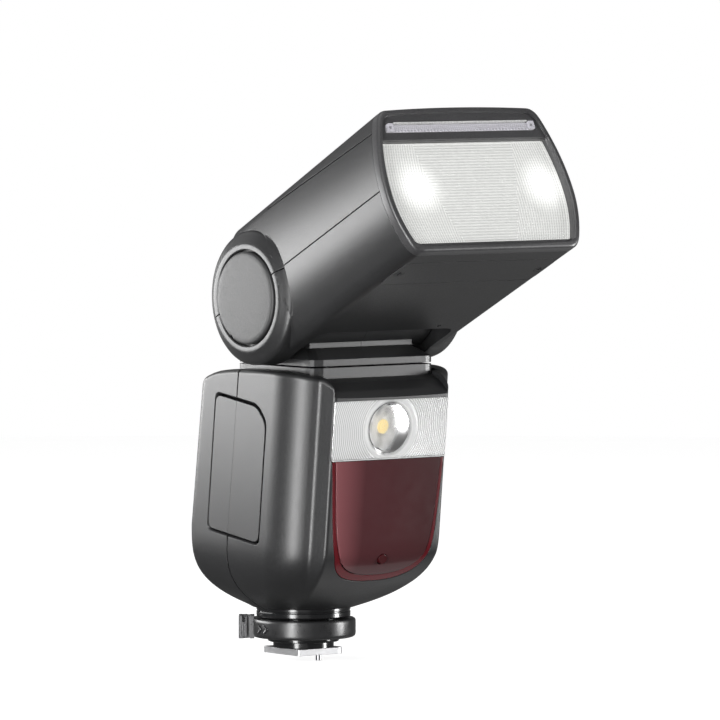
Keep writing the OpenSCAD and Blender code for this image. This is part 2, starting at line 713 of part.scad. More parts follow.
front_shell();
rear_shell();
turntable();
lamp_lens();
lamp_board();
lamp_reflector();
af_window();
af_emitter();
optic_sensor();
lcd_window();
lcd_module();
main_board();
main_capacitor();
battery_bay();
battery_contacts();
foot_base();
shoe_plate();
contact_pins();
body_screws();
sync_jack();
usb_socket();
lock_ring();
lock_pin();
swivel_plate();
swivel_hub();
neck_cover_left();
neck_cover_right();
tilt_axle();
head_upper_shell();
head_lower_shell();
head_top_cover();
front_bezel();
flash_lens();
hinge_caps();
screw_panel();
head_screws();
card_tray();
zoom_rails();
zoom_motor();
zoom_screw();
zoom_carriage();
flash_reflector();
flash_tube();
bounce_card();
wide_panel();
battery_case_front();
battery_case_rear();
battery_cells();
battery_latch();
control_dial();
set_button();
soft_key_1();
soft_key_2();
soft_key_3();
soft_key_4();
mode_button();
menu_button();
test_button();
power_switch();
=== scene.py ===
import json
from math import asin, cos, exp, pi, radians, sin

import bmesh
import bpy
import numpy as np
from mathutils import Matrix, Vector
from mathutils.bvhtree import BVHTree
from mathutils.interpolate import poly_3d_calc


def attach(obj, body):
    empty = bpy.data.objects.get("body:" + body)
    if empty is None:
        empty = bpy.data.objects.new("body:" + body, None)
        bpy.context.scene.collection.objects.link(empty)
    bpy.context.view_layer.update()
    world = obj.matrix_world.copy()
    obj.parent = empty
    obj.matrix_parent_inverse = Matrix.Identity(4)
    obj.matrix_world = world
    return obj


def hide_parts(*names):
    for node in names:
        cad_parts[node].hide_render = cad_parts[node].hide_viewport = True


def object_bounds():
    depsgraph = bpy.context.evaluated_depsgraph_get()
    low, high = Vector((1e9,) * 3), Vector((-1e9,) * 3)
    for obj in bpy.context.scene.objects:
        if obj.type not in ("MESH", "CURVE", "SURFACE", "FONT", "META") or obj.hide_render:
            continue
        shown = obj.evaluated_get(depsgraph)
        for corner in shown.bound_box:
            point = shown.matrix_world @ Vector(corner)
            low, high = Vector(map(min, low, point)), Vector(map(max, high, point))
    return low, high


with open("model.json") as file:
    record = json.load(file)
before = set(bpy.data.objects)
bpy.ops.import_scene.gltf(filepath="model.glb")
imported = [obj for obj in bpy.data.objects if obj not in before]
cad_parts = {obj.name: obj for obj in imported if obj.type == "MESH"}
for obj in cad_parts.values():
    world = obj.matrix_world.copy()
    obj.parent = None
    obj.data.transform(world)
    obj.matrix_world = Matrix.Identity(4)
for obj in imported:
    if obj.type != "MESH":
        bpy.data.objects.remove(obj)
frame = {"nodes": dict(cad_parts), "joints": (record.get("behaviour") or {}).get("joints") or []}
cad_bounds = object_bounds()
NODES = frame["nodes"]
JOINTS = {j["name"]: j for j in frame["joints"]}
MM = 0.001


# ---- Meshes ----

def link(obj):
    bpy.context.scene.collection.objects.link(obj)
    return obj


def mesh_object(name, verts, faces):
    """An object from points in mm."""
    me = bpy.data.meshes.new(name)
    me.from_pydata((np.asarray(verts, float) * MM).tolist(), [], [list(map(int, f)) for f in faces])
    me.validate()
    return link(bpy.data.objects.new(name, me))


def loft(name, rings, tip=None):
    """A closed solid through rings of n points, seen anticlockwise from the last ring's side."""
    rings = [np.asarray(r, float) for r in rings]
    n = len(rings[0])
    verts = np.concatenate(rings)
    faces = [[k * n + i, k * n + (i + 1) % n, (k + 1) * n + (i + 1) % n, (k + 1) * n + i]
             for k in range(len(rings) - 1) for i in range(n)]
    faces.append(list(range(n - 1, -1, -1)))
    last = (len(rings) - 1) * n
    if tip is None:
        faces.append([last + i for i in range(n)])
    else:
        verts = np.concatenate([verts, [tip]])
        faces += [[last + i, last + (i + 1) % n, len(verts) - 1] for i in range(n)]
    return mesh_object(name, verts, faces)


def prism(name, outline, axis, lo, hi):
    """An outline of (u, v) pulled along an axis: X takes (y, z), Y takes (x, z), Z takes (x, y)."""
    put = {"X": lambda p, h: (h, p[0], p[1]), "Y": lambda p, h: (p[0], h, p[1]),
           "Z": lambda p, h: (p[0], p[1], h)}[axis]
    area = sum(a[0] * b[1] - b[0] * a[1] for a, b in zip(outline, np.roll(outline, -1, 0)))
    flip = (area < 0) != (axis == "Y")
    pts = list(outline)[::-1] if flip else list(outline)
    return loft(name, [[put(p, lo) for p in pts], [put(p, hi) for p in pts]])


def revolve(name, profile, axis="Z", centre=(0, 0, 0), steps=128):
    """A closed profile of (radius, height) turned round an axis."""
    rings = []
    for k in range(steps):
        a = 2 * pi * k / steps
        c, s = cos(a), sin(a)
        if axis == "Z":
            ring = [(r * c, r * s, h) for r, h in profile]
        elif axis == "X":
            ring = [(h, r * c, r * s) for r, h in profile]
        else:
            ring = [(r * s, h, r * c) for r, h in profile]
        rings.append(np.array(ring) + np.array(centre))
    n = len(profile)
    verts = np.concatenate(rings)
    faces = []
    for k in range(steps):
        j = (k + 1) % steps
        for i in range(n):
            ii = (i + 1) % n
            faces.append([k * n + i, j * n + i, j * n + ii, k * n + ii])
    return clean(mesh_object(name, verts, faces))


def clean(obj):
    """Merges doubled points and turns every face outwards."""
    bm = bmesh.new()
    bm.from_mesh(obj.data)
    bmesh.ops.remove_doubles(bm, verts=bm.verts, dist=1e-7)
    bmesh.ops.recalc_face_normals(bm, faces=bm.faces)
    bm.to_mesh(obj.data)
    bm.free()
    return obj


def rect(u0, u1, v0, v1):
    return [(u0, v0), (u1, v0), (u1, v1), (u0, v1)]


def block(name, x0, x1, y0, y1, z0, z1):
    return loft(name, [[(x, y, z) for x, y in rect(x0, x1, y0, y1)] for z in (z0, z1)])


def remove(obj):
    data = obj.data
    bpy.data.objects.remove(obj)
    if data.users == 0:
        bpy.data.meshes.remove(data)


def apply_modifiers(obj):
    dg = bpy.context.evaluated_depsgraph_get()
    new = bpy.data.meshes.new_from_object(obj.evaluated_get(dg))
    obj.modifiers.clear()
    old = obj.data
    obj.data = new
    if old.users == 0:
        bpy.data.meshes.remove(old)
    return obj


def combine(obj, *tools, op="DIFFERENCE"):
    for tool in tools:
        clean(tool)
        mod = obj.modifiers.new("cut", "BOOLEAN")
        mod.operation = op
        mod.solver = "MANIFOLD"
        mod.object = tool
        apply_modifiers(obj)
        if len(obj.data.polygons) == 0:
            raise RuntimeError(f"{obj.name} is empty after {tool.name}")
        remove(tool)
    return obj


def cut(obj, *tools):
    return combine(obj, *tools)


def keep_inside(obj, *tools):
    return combine(obj, *tools, op="INTERSECT")


def add(obj, *tools):
    return combine(obj, *tools, op="UNION")


def copy_of(obj, name):
    new = obj.copy()
    new.data = obj.data.copy()
    new.name = name
    return link(new)


def moved(x, y, z):
    """A move by a distance in mm."""
    return Matrix.Translation(Vector((x, y, z)) * MM)


def turned(degrees, axis):
    return Matrix.Rotation(radians(degrees), 4, axis)


# Placement of the head's own frame: its origin is the hinge, and the head is level in it
IN_HEAD = Matrix.Translation(JOINTS["tilt"]["pos_m"]) @ turned(JOINTS["tilt"]["range_deg"][0], "X")


def place(obj, matrix):
    obj.data.transform(matrix)
    return obj


class Skin:
    """The smooth surface of a mesh before it is cut."""

    def __init__(self, obj):
        me = obj.data
        self.verts = [v.co.copy() for v in me.vertices]
        self.faces = [list(p.vertices) for p in me.polygons]
        normals = [Vector() for _ in self.verts]
        for p in me.polygons:
            if len(p.vertices) > 8:
                continue
            for i in p.vertices:
                normals[i] += p.normal * p.area
        self.normals = [n.normalized() if n.length > 0 else n for n in normals]
        self.tree = BVHTree.FromPolygons(self.verts, self.faces)

    def normal(self, point, facing, reach=2e-5, turn=0.8):
        spot, face_normal, face, _ = self.tree.find_nearest(point, reach)
        if spot is None or face_normal.dot(facing) < turn or len(self.faces[face]) > 8:
            return None
        ids = self.faces[face]
        weights = poly_3d_calc([self.verts[i] for i in ids], spot)
        total = Vector()
        for i, w in zip(ids, weights):
            total += self.normals[i] * w
        return total.normalized() if total.length > 0 else None


def shade(obj, skins=(), angle=32):
    """Smooth shading below an angle, and the skins' own normals where the mesh lies on them."""
    me = obj.data
    me.polygons.foreach_set("use_smooth", [True] * len(me.polygons))
    me.set_sharp_from_angle(angle=radians(angle))
    if not skins:
        return obj
    normals = [Vector(c.vector) for c in me.corner_normals]
    for p in me.polygons:
        for skin in skins:
            if skin.normal(p.center, p.normal) is None:
                continue
            found = [skin.normal(me.vertices[me.loops[k].vertex_index].co, p.normal, 4e-5, 0.6)
                     for k in p.loop_indices]
            for k, n in zip(p.loop_indices, found):
                if n is not None:
                    normals[k] = n
            break
    me.normals_split_custom_set([tuple(n) for n in normals])
    return obj


# ---- Curves and outlines ----

def mix(a, b, t):
    return a + (b - a) * t


def bend(a, p, b, steps):
    """Points on the curve that leaves a towards p and comes to b from p."""
    return [mix(mix(a, p, k / steps), mix(p, b, k / steps), k / steps) for k in range(steps + 1)]


def corner_curve(a, p, b, reach, steps=6):
    """The points of one softened corner."""
    a, p, b = (np.array(q, float) for q in (a, p, b))
    ra = p + (a - p) * min(0.49, reach / np.linalg.norm(a - p))
    rb = p + (b - p) * min(0.49, reach / np.linalg.norm(b - p))
    return bend(ra, p, rb, steps)


def soften(pts, reach, steps=6, corners=None):
    """Corners of a closed outline replaced by short curves."""
    out = []
    for i, p in enumerate(pts):
        if corners is None or i in corners:
            out += corner_curve(pts[i - 1], p, pts[(i + 1) % len(pts)], reach, steps)
        else:
            out.append(np.array(p, float))
    return out


def rounded_box(half_x, half_y, r, steps=8):
    pts = []
    for cx, cy, a0 in ((1, -1, -90), (1, 1, 0), (-1, 1, 90), (-1, -1, 180)):
        for k in range(steps + 1):
            a = radians(a0 + 90 * k / steps)
            pts.append((cx * (half_x - r) + r * cos(a), cy * (half_y - r) + r * sin(a)))
    return pts


class Curve:
    """A smooth curve through points, with no overshoot."""

    def __init__(self, pts):
        self.x = np.array([p[0] for p in pts], float)
        self.y = np.array([p[1] for p in pts], float)
        h = np.diff(self.x)
        d = np.diff(self.y) / h
        m = np.zeros(len(self.x))
        m[0], m[-1] = d[0], d[-1]
        for i in range(1, len(m) - 1):
            if d[i - 1] * d[i] > 0:
                w1, w2 = 2 * h[i] + h[i - 1], h[i] + 2 * h[i - 1]
                m[i] = (w1 + w2) / (w1 / d[i - 1] + w2 / d[i])
        self.m = m

    def __call__(self, q):
        q = np.clip(q, self.x[0], self.x[-1])
        i = np.clip(np.searchsorted(self.x, q) - 1, 0, len(self.x) - 2)
        h = self.x[i + 1] - self.x[i]
        t = (q - self.x[i]) / h
        return ((2 * t**3 - 3 * t**2 + 1) * self.y[i] + (t**3 - 2 * t**2 + t) * h * self.m[i]
                + (-2 * t**3 + 3 * t**2) * self.y[i + 1] + (t**3 - t**2) * h * self.m[i + 1])


# ---- Camera ----

def make_camera():
    azimuth, elevation, distance = radians(-37.63), radians(3.19), 2.415
    right = Vector((cos(azimuth), sin(azimuth), 0))
    back = Vector((sin(azimuth) * cos(elevation),
                   -cos(azimuth) * cos(elevation), sin(elevation)))
    up = back.cross(right)
    aim = Vector((0, -0.015, 0.085)) + right * 0.0091 + up * 0.0103
    data = bpy.data.cameras.new("camera")
    data.sensor_width = 36
    data.lens = 376.3
    data.clip_start, data.clip_end = 0.05, 50
    cam = link(bpy.data.objects.new("camera", data))
    cam.rotation_mode = "QUATERNION"
    cam.location = aim + back * distance
    cam.rotation_quaternion = Matrix((right, up, back)).transposed().to_quaternion()
    bpy.context.scene.camera = cam


make_camera()

# ---- Materials ----

class Nodes:
    """A material's node tree, built a node at a time."""

    def __init__(self, name):
        self.mat = bpy.data.materials.new(name)
        self.mat.use_nodes = True
        self.tree = self.mat.node_tree
        self.shader = self.tree.nodes["Principled BSDF"]
        self.place = self.new("ShaderNodeTexCoord").outputs["Object"]

    def new(self, kind, links=None, **values):
        node = self.tree.nodes.new(kind)
        for key, value in values.items():
            setattr(node, key, value)
        for key, source in (links or {}).items():
            self.join(source, node.inputs[key])
        return node

    def join(self, source, socket):
        if isinstance(source, bpy.types.NodeSocket):
            self.tree.links.new(source, socket)
        else:
            socket.default_value = source

    def set(self, **values):
        for key, value in values.items():
            self.join(value, self.shader.inputs[key.replace("_", " ")])

    def noise(self, size, detail=2.0, roughness=0.5, stretch=None):
        """Noise with features of about size in metres."""
        place = self.place
        if stretch:
            place = self.new("ShaderNodeMapping", {"Vector": place, "Scale": stretch}).outputs[0]
        node = self.new("ShaderNodeTexNoise", {"Vector": place, "Scale": 1 / size,
                                               "Detail": detail, "Roughness": roughness})
        return node.outputs["Fac"]

    def ramp(self, source, *stops):
        """A colour or value that follows source, from (position, colour) stops."""
        node = self.new("ShaderNodeValToRGB", {"Fac": source})
        ramp = node.color_ramp
        for i, (at, colour) in enumerate(stops):
            if not isinstance(colour, (tuple, list)):
                colour = (colour,) * 3
            stop = ramp.elements[i] if i < 2 else ramp.elements.new(at)
            stop.position = at
            stop.color = (*colour, 1)
        return node.outputs["Color"]

    def spread(self, value, start, end, low=0.0, high=1.0, **values):
        """A value taken from one range to another, and held at its ends."""
        return self.new("ShaderNodeMapRange", {"Value": value, "From Min": start, "From Max": end,
                                               "To Min": low, "To Max": high}, **values).outputs[0]

    def calc(self, kind, a, b):
        return self.new("ShaderNodeMath", {0: a, 1: b}, operation=kind).outputs[0]

    def bump(self, height, distance, strength, normal):
        return self.new("ShaderNodeBump", {"Height": height, "Distance": distance, "Strength": strength,
                                           "Normal": normal}).outputs["Normal"]

    def mottle(self, size, low, high, detail=2):
        """A ramp that follows noise."""
        return self.ramp(self.noise(size, detail), low, high)

    def vector(self, kind, a, b=(0, 0, 0)):
        return self.new("ShaderNodeVectorMath", {0: a, 1: b}, operation=kind)

    def times(self, a, b):
        """Two colours multiplied."""
        return self.vector("MULTIPLY", a, b).outputs[0]

    def tint(self, socket, grey):
        """The colour that already feeds one of the shader's sockets, multiplied by a grey."""
        fed = self.shader.inputs[socket]
        self.join(self.times(fed.links[0].from_socket, grey), fed)

    def painted_groove_shade(self, depth):
        """Painted shade: a grey that is darker in the grooves of the mesh."""
        point = self.new("ShaderNodeNewGeometry").outputs["Pointiness"]
        return self.ramp(point, (0.42, depth), (0.52, 1.0))

    def round_edges(self, radius):
        return self.new("ShaderNodeBevel", {"Radius": radius}, samples=4).outputs["Normal"]

    def ripples(self, size, edge):
        self.set(Normal=self.bump(self.noise(size, 2), 0.000004, 0.4, self.round_edges(edge)))


def shade_of(colour, k):
    return tuple(min(1, c * k) for c in colour)


GRAIN = 0.0006


def moulded(name, colour, rough, depth=0.00005):
    """Spark-textured moulded plastic: fine grain, faint mottling and softened edges."""
    n = Nodes(name)
    cloud = n.noise(0.022, 3)
    speck = n.noise(GRAIN * 0.8, 2)
    tone = n.ramp(cloud, (0.25, shade_of(colour, 0.86)), (0.75, shade_of(colour, 1.14)))
    n.set(Base_Color=n.times(tone, n.ramp(speck, (0.3, 0.8), (0.7, 1.2))))
    n.set(Roughness=n.ramp(speck, (0.2, rough - 0.07), (0.8, rough + 0.09)), Specular_IOR_Level=1.0)
    n.set(Normal=n.bump(n.noise(GRAIN, 3, 0.6), depth, 0.55, n.round_edges(0.00025)))
    return n.mat


def satin(name, colour, rough, metallic=0.0, brush=(1, 1, 1), depth=0.000006, edge=0.0002):
    """Smoother plastic or machined metal, with faint streaks."""
    n = Nodes(name)
    streak, scratch = (n.noise(size, 3, 0.6, stretch=brush) for size in (0.0022, GRAIN))
    n.set(Base_Color=n.mottle(0.012, (0.3, shade_of(colour, 0.9)), (0.7, shade_of(colour, 1.1))))
    n.set(Roughness=n.ramp(streak, (0.25, max(0.03, rough - 0.06)), (0.75, rough + 0.08)))
    n.set(Normal=n.bump(scratch, depth, 0.5, n.round_edges(edge)))
    n.set(Metallic=metallic, Specular_IOR_Level=1.0)
    return n.mat


def tube_glass():
    n = Nodes("tube_glass")
    tint = (0.97, 0.97, 0.96)
    n.set(Base_Color=n.mottle(0.006, (0.2, shade_of(tint, 0.96)), (0.8, tint)))
    n.set(Roughness=n.mottle(0.002, (0.2, 0.01), (0.8, 0.04)), Transmission_Weight=0.92, IOR=1.5)
    n.ripples(0.004, 0.0002)
    return n.mat


def red_plastic():
    """Deep red plastic with a painted highlight: paler towards the battery side."""
    n = Nodes("red_plastic")
    across = n.new("ShaderNodeSeparateXYZ", {0: n.place}).outputs["X"]
    along = n.spread(across, -0.0225, 0.0225)
    # Painted highlight: the colour ramp is paler towards the battery side (-X)
    tone = n.ramp(along, (0.0, (0.36, 0.13, 0.14)), (0.1, (0.27, 0.09, 0.1)), (0.3, (0.1, 0.028, 0.033)),
                  (1.0, (0.075, 0.024, 0.026)))
    n.set(Base_Color=n.times(tone, n.mottle(0.03, (0.25, 0.9), (0.75, 1.1))))
    n.set(Roughness=n.mottle(0.003, (0.2, 0.14), (0.8, 0.2)))
    n.ripples(0.006, 0.0003)
    n.set(Transmission_Weight=0.12, Coat_Weight=0.3, Coat_Roughness=0.05)
    return n.mat


def deep_red(name, lift):
    n = Nodes(name)
    n.set(Base_Color=n.mottle(0.02, (0.25, shade_of((0.15, 0.008, 0.014), lift)),
                              (0.75, shade_of((0.19, 0.012, 0.02), lift))))
    n.set(Roughness=n.mottle(0.003, (0.2, 0.16), (0.8, 0.24)))
    n.ripples(0.006, 0.0003)
    return n.mat


def milky_with_painted_glow(name, tint, weight, rough=0.12, groove=0.62):
    """Clear ribbed plastic over a bright reflector: part clear, part scattering, with a painted glow and
    painted shade in its grooves.
    """
    n = Nodes(name)
    tone = n.mottle(0.008, (0.25, shade_of(tint, 0.93)), (0.75, tint))
    # Painted shade in the grooves, used on both the base colour and the glow
    groove_shade = n.painted_groove_shade(groove)
    n.set(Base_Color=n.times(tone, groove_shade))
    n.set(Roughness=n.mottle(0.002, (0.2, rough), (0.8, rough + 0.06)))
    # Painted glow: emission stands in for the lit reflector behind; each caller sets its strength
    n.set(Transmission_Weight=weight, IOR=1.46, Emission_Color=n.times(groove_shade, (1, 1, 0.985)))
    return n


def wide_panel_material():
    n = milky_with_painted_glow("wide_panel_plastic", (0.5, 0.485, 0.55), 0.3, 0.16, 0.45)
    # Painted glow: the strip is given emission though it is no lamp
    n.set(Emission_Strength=0.17)
    return n.mat


LAMP_Z = -9.2
LAMP_AT = Vector((0, -46.0, 74.9)) * MM
RING_STEP, FIRST_RING = 0.76, 11.3


def lamp_lens_material():
    """Frosted rings round a clear dome, with painted shade along the rings and a painted glow over the
    frosted part.
    """
    n = milky_with_painted_glow("lamp_lens_plastic", (0.8, 0.805, 0.81), 0.35)
    from_axis = n.vector("SUBTRACT", n.place, tuple(LAMP_AT)).outputs[0]
    radius = n.vector("LENGTH", n.times(from_axis, (1, 0, 1))).outputs["Value"]
    frosted_and_glow = n.spread(radius, 0.0082, 0.009)
    turns = n.calc("SUBTRACT", n.calc("DIVIDE", radius, RING_STEP * MM), FIRST_RING / RING_STEP % 1)
    # Painted shade along each ring's step, outside the clear middle
    rings = n.ramp(n.calc("FRACT", turns, 0.0), (0.0, 0.5), (0.3, 1.0), (0.8, 1.0), (1.0, 0.5))
    ringed = n.spread(radius, 0.0103, 0.0108)
    rings = n.new("ShaderNodeMix", {"Factor": ringed, 6: (1, 1, 1, 1), 7: rings},
                  data_type="RGBA").outputs[2]
    n.tint("Base Color", rings)
    n.tint("Emission Color", rings)
    # Lower transmission is the real frosting; the emission there is a painted glow
    n.set(Transmission_Weight=n.spread(frosted_and_glow, 0, 1, 0.97, 0.4),
          Emission_Strength=n.spread(frosted_and_glow, 0, 1, 0, 0.25))
    return n.mat


def flash_lens_material():
    """A painted glow, strongest at two painted glints along the tube."""
    n = milky_with_painted_glow("flash_lens_plastic", (0.7, 0.705, 0.69), 0.4, groove=0.45)
    total = 0.0
    # Two painted glints over the tube
    for side in (-22, 28):
        spot = IN_HEAD @ Vector((side * MM, -0.079, 0.002))
        far = n.vector("DISTANCE", n.place, tuple(spot)).outputs["Value"]
        near = n.spread(far, 0.011, 0.001, interpolation_type="SMOOTHSTEP")
        total = n.calc("ADD", total, near)
    n.set(Emission_Strength=n.spread(total, 0, 1, 0.3, 0.72))
    return n.mat


def lamp_cup_material():
    """White reflector with soft grey swirls and a painted glow."""
    n = Nodes("lamp_cup_painted_glow")
    swirl = n.noise(0.005, 1, 0.4)
    # Painted glow: the reflector is given emission though it is no lamp
    n.set(Base_Color=n.ramp(swirl, (0.35, 0.4), (0.6, 0.62)),
          Roughness=n.ramp(swirl, (0.3, 0.2), (0.7, 0.3)),
          Emission_Color=n.ramp(swirl, (0.35, 0.35), (0.6, 1.0)), Emission_Strength=0.5)
    return n.mat


def phosphor():
    n = Nodes("phosphor")
    # Painted glow: the phosphor dot is given emission
    n.set(Base_Color=n.mottle(0.0008, (0.3, (0.95, 0.72, 0.24)), (0.7, (1.0, 0.82, 0.36))),
          Emission_Color=(1.0, 0.78, 0.36, 1), Emission_Strength=0.8)
    return n.mat


MAT = {
    "casing": moulded("casing_plastic", (0.021, 0.0212, 0.0222), rough=0.37),
    "cap": moulded("cap_plastic", (0.022, 0.0222, 0.0232), rough=0.5),
    "black": moulded("black_plastic", (0.012, 0.012, 0.013), rough=0.4, depth=0.000015),
    "bezel": moulded("bezel_plastic", (0.06, 0.0595, 0.062), rough=0.34, depth=0.000012),
    "gloss": satin("gloss_black", (0.01, 0.01, 0.011), rough=0.16),
    "ring": satin("ring_plastic", (0.022, 0.022, 0.023), rough=0.3),
    "lever": satin("lever_metal", (0.2, 0.2, 0.205), rough=0.3, metallic=0.6),
    "shoe": satin("shoe_metal", (0.6, 0.6, 0.61), rough=0.34, metallic=0.7, brush=(1, 1, 4), depth=0.00002),
    "steel": satin("steel", (0.52, 0.52, 0.53), rough=0.28, metallic=1.0),
    "polished": satin("polished_metal", (0.86, 0.86, 0.87), rough=0.12, metallic=1.0),
    # Painted shade: the contact pins are coloured near black to look shaded under the foot
    "contact": satin("contact_metal", (0.03, 0.028, 0.026), rough=0.3, metallic=0.4),
    "gold": satin("gold_contact", (0.75, 0.55, 0.24), rough=0.25, metallic=1.0),
    "white": moulded("white_card", (0.68, 0.68, 0.675), rough=0.5, depth=0.00001),
    "board": moulded("circuit_board", (0.02, 0.11, 0.06), rough=0.4, depth=0.00001),
    "cell": satin("cell_wrap", (0.05, 0.2, 0.42), rough=0.3),
    "screen": satin("screen_glass", (0.006, 0.007, 0.009), rough=0.05, edge=0.0001),
    "panel": satin("display_panel", (0.2, 0.24, 0.26), rough=0.3),
    "tube": tube_glass(),
    "red": red_plastic(),
    "red_rim": deep_red("red_rim_plastic", 0.8),
    "red_dark": deep_red("red_sensor_plastic", 0.3),
    "wide": wide_panel_material(),
    "lamp_lens": lamp_lens_material(),
    "flash_lens": flash_lens_material(),
    "backing": satin("backing_film", (0.8, 0.8, 0.8), rough=0.3, metallic=0.2),
    "lamp_cup": lamp_cup_material(),
    "phosphor": phosphor(),
}


def paint(obj, key):
    obj.data.materials.clear()
    obj.data.materials.append(MAT[key])


def finish_piece(obj, name, body, key, nodes=(), skins=(), angle=32):
    obj.name = name
    obj.data.name = name
    shade(obj, skins, angle)
    paint(obj, key)
    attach(obj, body)
    if nodes:
        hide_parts(*nodes)
    return obj


# ---- Body outline ----

LENS_TOP, LENS_LOW, LENS_HALF = 84.1, 65.4, 22.7
BODY_FRONT, BODY_BACK, BODY_HALF = 46.9, 19.7, 33.0
BOWL_TOP, BODY_LOW, FOOT_R = 42.0, 15.2, 16.6
# The round column at each front corner: radius, centre behind the front and beside the middle, and
# how far from its centre the lens block meets it
COLUMN_R, COLUMN_IN, COLUMN_X, BLOCK_FOOT = 16.6, 19.9, 16.4, 8.6
REAR_R, BOW = 4.7, 0.0006
FRONT_LEAN, BACK_LEAN = 0.1, 0.135
SENSOR_Z = 33
KEYS_X = [-16.5 + 11 * k for k in range(4)]
WALL, RAISE, GAP = 2.0, 2.4, 0.1
SWIVEL_Y, DECK_Z = JOINTS["swivel"]["pos_m"][1] / MM, 90.9
DIAL_Z = 37.0
SEAM_LEAN, SEAM_Y, SEAM_Z, SEAM_HALF = 0.115, -9.3, 91.7, 0.3

shoulders = Curve([(-47.6, 84), (-46.6, 88.4), (-44.5, 90.4), (-41, 91.6), (-33, 92.9), (-25, 93.4),
                   (-8, 93.2), (1, 92.4), (7, 90.9), (10.6, 89.2), (13.4, 86.4), (15, 82)])


def front_y(z):
    return -BODY_FRONT + FRONT_LEAN * (LENS_TOP - z)


def back_y(z):
    return BODY_BACK - BACK_LEAN * (max(z, BOWL_TOP) - BOWL_TOP)


def half_outline(z, t=0.0, proud=1.0):
    """Right half of the body's outline at height z, from the middle of the front to the rear."""
    yf, yb, w = front_y(z) + t, back_y(z) - t, BODY_HALF - t
    cy, cx, r = front_y(z) + COLUMN_IN, COLUMN_X, COLUMN_R - t
    lift = RAISE * proud * min(1, max(0, (z - 22) / 12))
    knee = asin(BLOCK_FOOT / COLUMN_R)
    edge_x = LENS_HALF + 0.1

    def front(x):
        return np.array([x, yf + RAISE - lift + BOW * x * x])

    corner = front(edge_x)
    if proud < 0.5:
        corner[1] = max(corner[1], cy - r * cos(radians(18)) + 0.3)

    def column(a):
        return np.array([cx + r * sin(a), cy - r * cos(a)])

    past = knee + 0.12
    pts = [front(x) for x in np.linspace(0, edge_x - 1.4, 10)]
    pts += corner_curve(front(edge_x - 3), corner, column(knee), 0.9)
    pts += corner_curve(corner, column(knee), column(past), 1.1)[:-1]
    pts += [column(a) for a in np.linspace(past, pi / 2, 26)]
    for u in np.linspace(0, 1, 12)[1:-1]:
        pts.append(np.array([w + 0.04 * (1 - (2 * u - 1) ** 2), mix(cy, yb - REAR_R, u)]))
    edge = w - REAR_R
    for a in np.linspace(0, pi / 2, 12):
        pts.append(np.array([edge + REAR_R * cos(a), yb - REAR_R + REAR_R * sin(a) - BOW * edge * edge]))
    pts += [np.array([x, yb - BOW * x * x]) for x in np.linspace(edge, 0, 10)[1:]]
    return pts


def whole(half):
    return np.array(list(half) + [(-p[0], p[1]) for p in half[-2:0:-1]])


def body_ring(z, t=0.0, proud=1.0):
    u = (z - BODY_LOW - t) / (BOWL_TOP - BODY_LOW - t)
    g = 1 if u >= 1 else 1 - (1 - max(u, 0)) ** 3.3
    out = whole(half_outline(z, t, proud))
    angle = np.arctan2(out[:, 1] + 13, out[:, 0])
    r = FOOT_R - t
    ring = np.stack([r * np.cos(angle), r * np.sin(angle)], 1)
    return mix(ring, out, g)


def at_height(xy, z):
    return np.column_stack([xy, np.broadcast_to(z, len(xy))])


def inset_normals(xy):
    d = np.roll(xy, -1, 0) - np.roll(xy, 1, 0)
    n = np.stack([-d[:, 1], d[:, 0]], 1)
    return n / np.linalg.norm(n, axis=1)[:, None]


def body_solid(name, t=0.0, proud=1.0, drop=0.0, r=1.5, rings=44):
    """The body's outside, or its hollow at inset t and drop below the shoulders."""
    levels = [mix(BODY_LOW + t, BOWL_TOP, (k / rings) ** 1.6) for k in range(rings + 1)]
    out = [at_height(body_ring(z, t, proud), z) for z in levels]
    low, high = body_ring(BOWL_TOP, t, proud), body_ring(90.0, t, proud)

    def straight(z):
        return low + (high - low) * ((z - BOWL_TOP) / (90.0 - BOWL_TOP))[:, None]

    top = np.full(len(low), 80.0)
    for _ in range(12):
        top = shoulders(straight(top)[:, 1]) - drop - r
    for v in np.linspace(0, 1, 9)[1:]:
        z = mix(BOWL_TOP, top, v)
        out.append(at_height(straight(z), z))
    base = straight(top)
    inward = inset_normals(base)
    for k in range(1, 8):
        a = pi / 2 * k / 7
        xy = base + inward * r * (1 - cos(a))
        z = shoulders(xy[:, 1]) - drop - r + r * sin(a)
        out.append(at_height(xy, z))
    rim = out[-1][:, :2]
    centre = np.array([0, -16.0])
    for k in (0.93, 0.86, 0.78, 0.68, 0.56, 0.42, 0.26, 0.12):
        xy = centre + (rim - centre) * k
        out.append(at_height(xy, shoulders(xy[:, 1]) - drop))
    return loft(name, out, tip=(*centre, float(shoulders(centre[1])) - drop))


def seam_side(shift):
    """Everything ahead of the seam for a shift forwards, or behind it for a shift backwards."""
    line = [(SEAM_Y + SEAM_LEAN * (SEAM_Z - z) + shift, z) for z in (-5, 115)]
    edge = -100 if shift < 0 else 100
    return prism("side", [line[0], line[1], (edge, 115), (edge, -5)], "X", -60, 60)


BATTERY = [(-19.4, 38.3), (7.1, 41.9), (2.5, 84.6), (-18.9, 81.6), (-23.4, 76.4)]


def battery_outline(grow, steps=8):
    c = np.array([-8.3, 61.5])
    pts = [np.array(p) for p in BATTERY]
    return soften([p + (p - c) * grow / np.linalg.norm(p - c) for p in pts], 2.6, steps)


WINDOW = [(22.3, LENS_LOW - 0.5), (21.6, 55), (20.9, 46), (20, 38), (18.2, 32), (15, 28.6),
          (10.5, 26.6), (5, 25.8)]


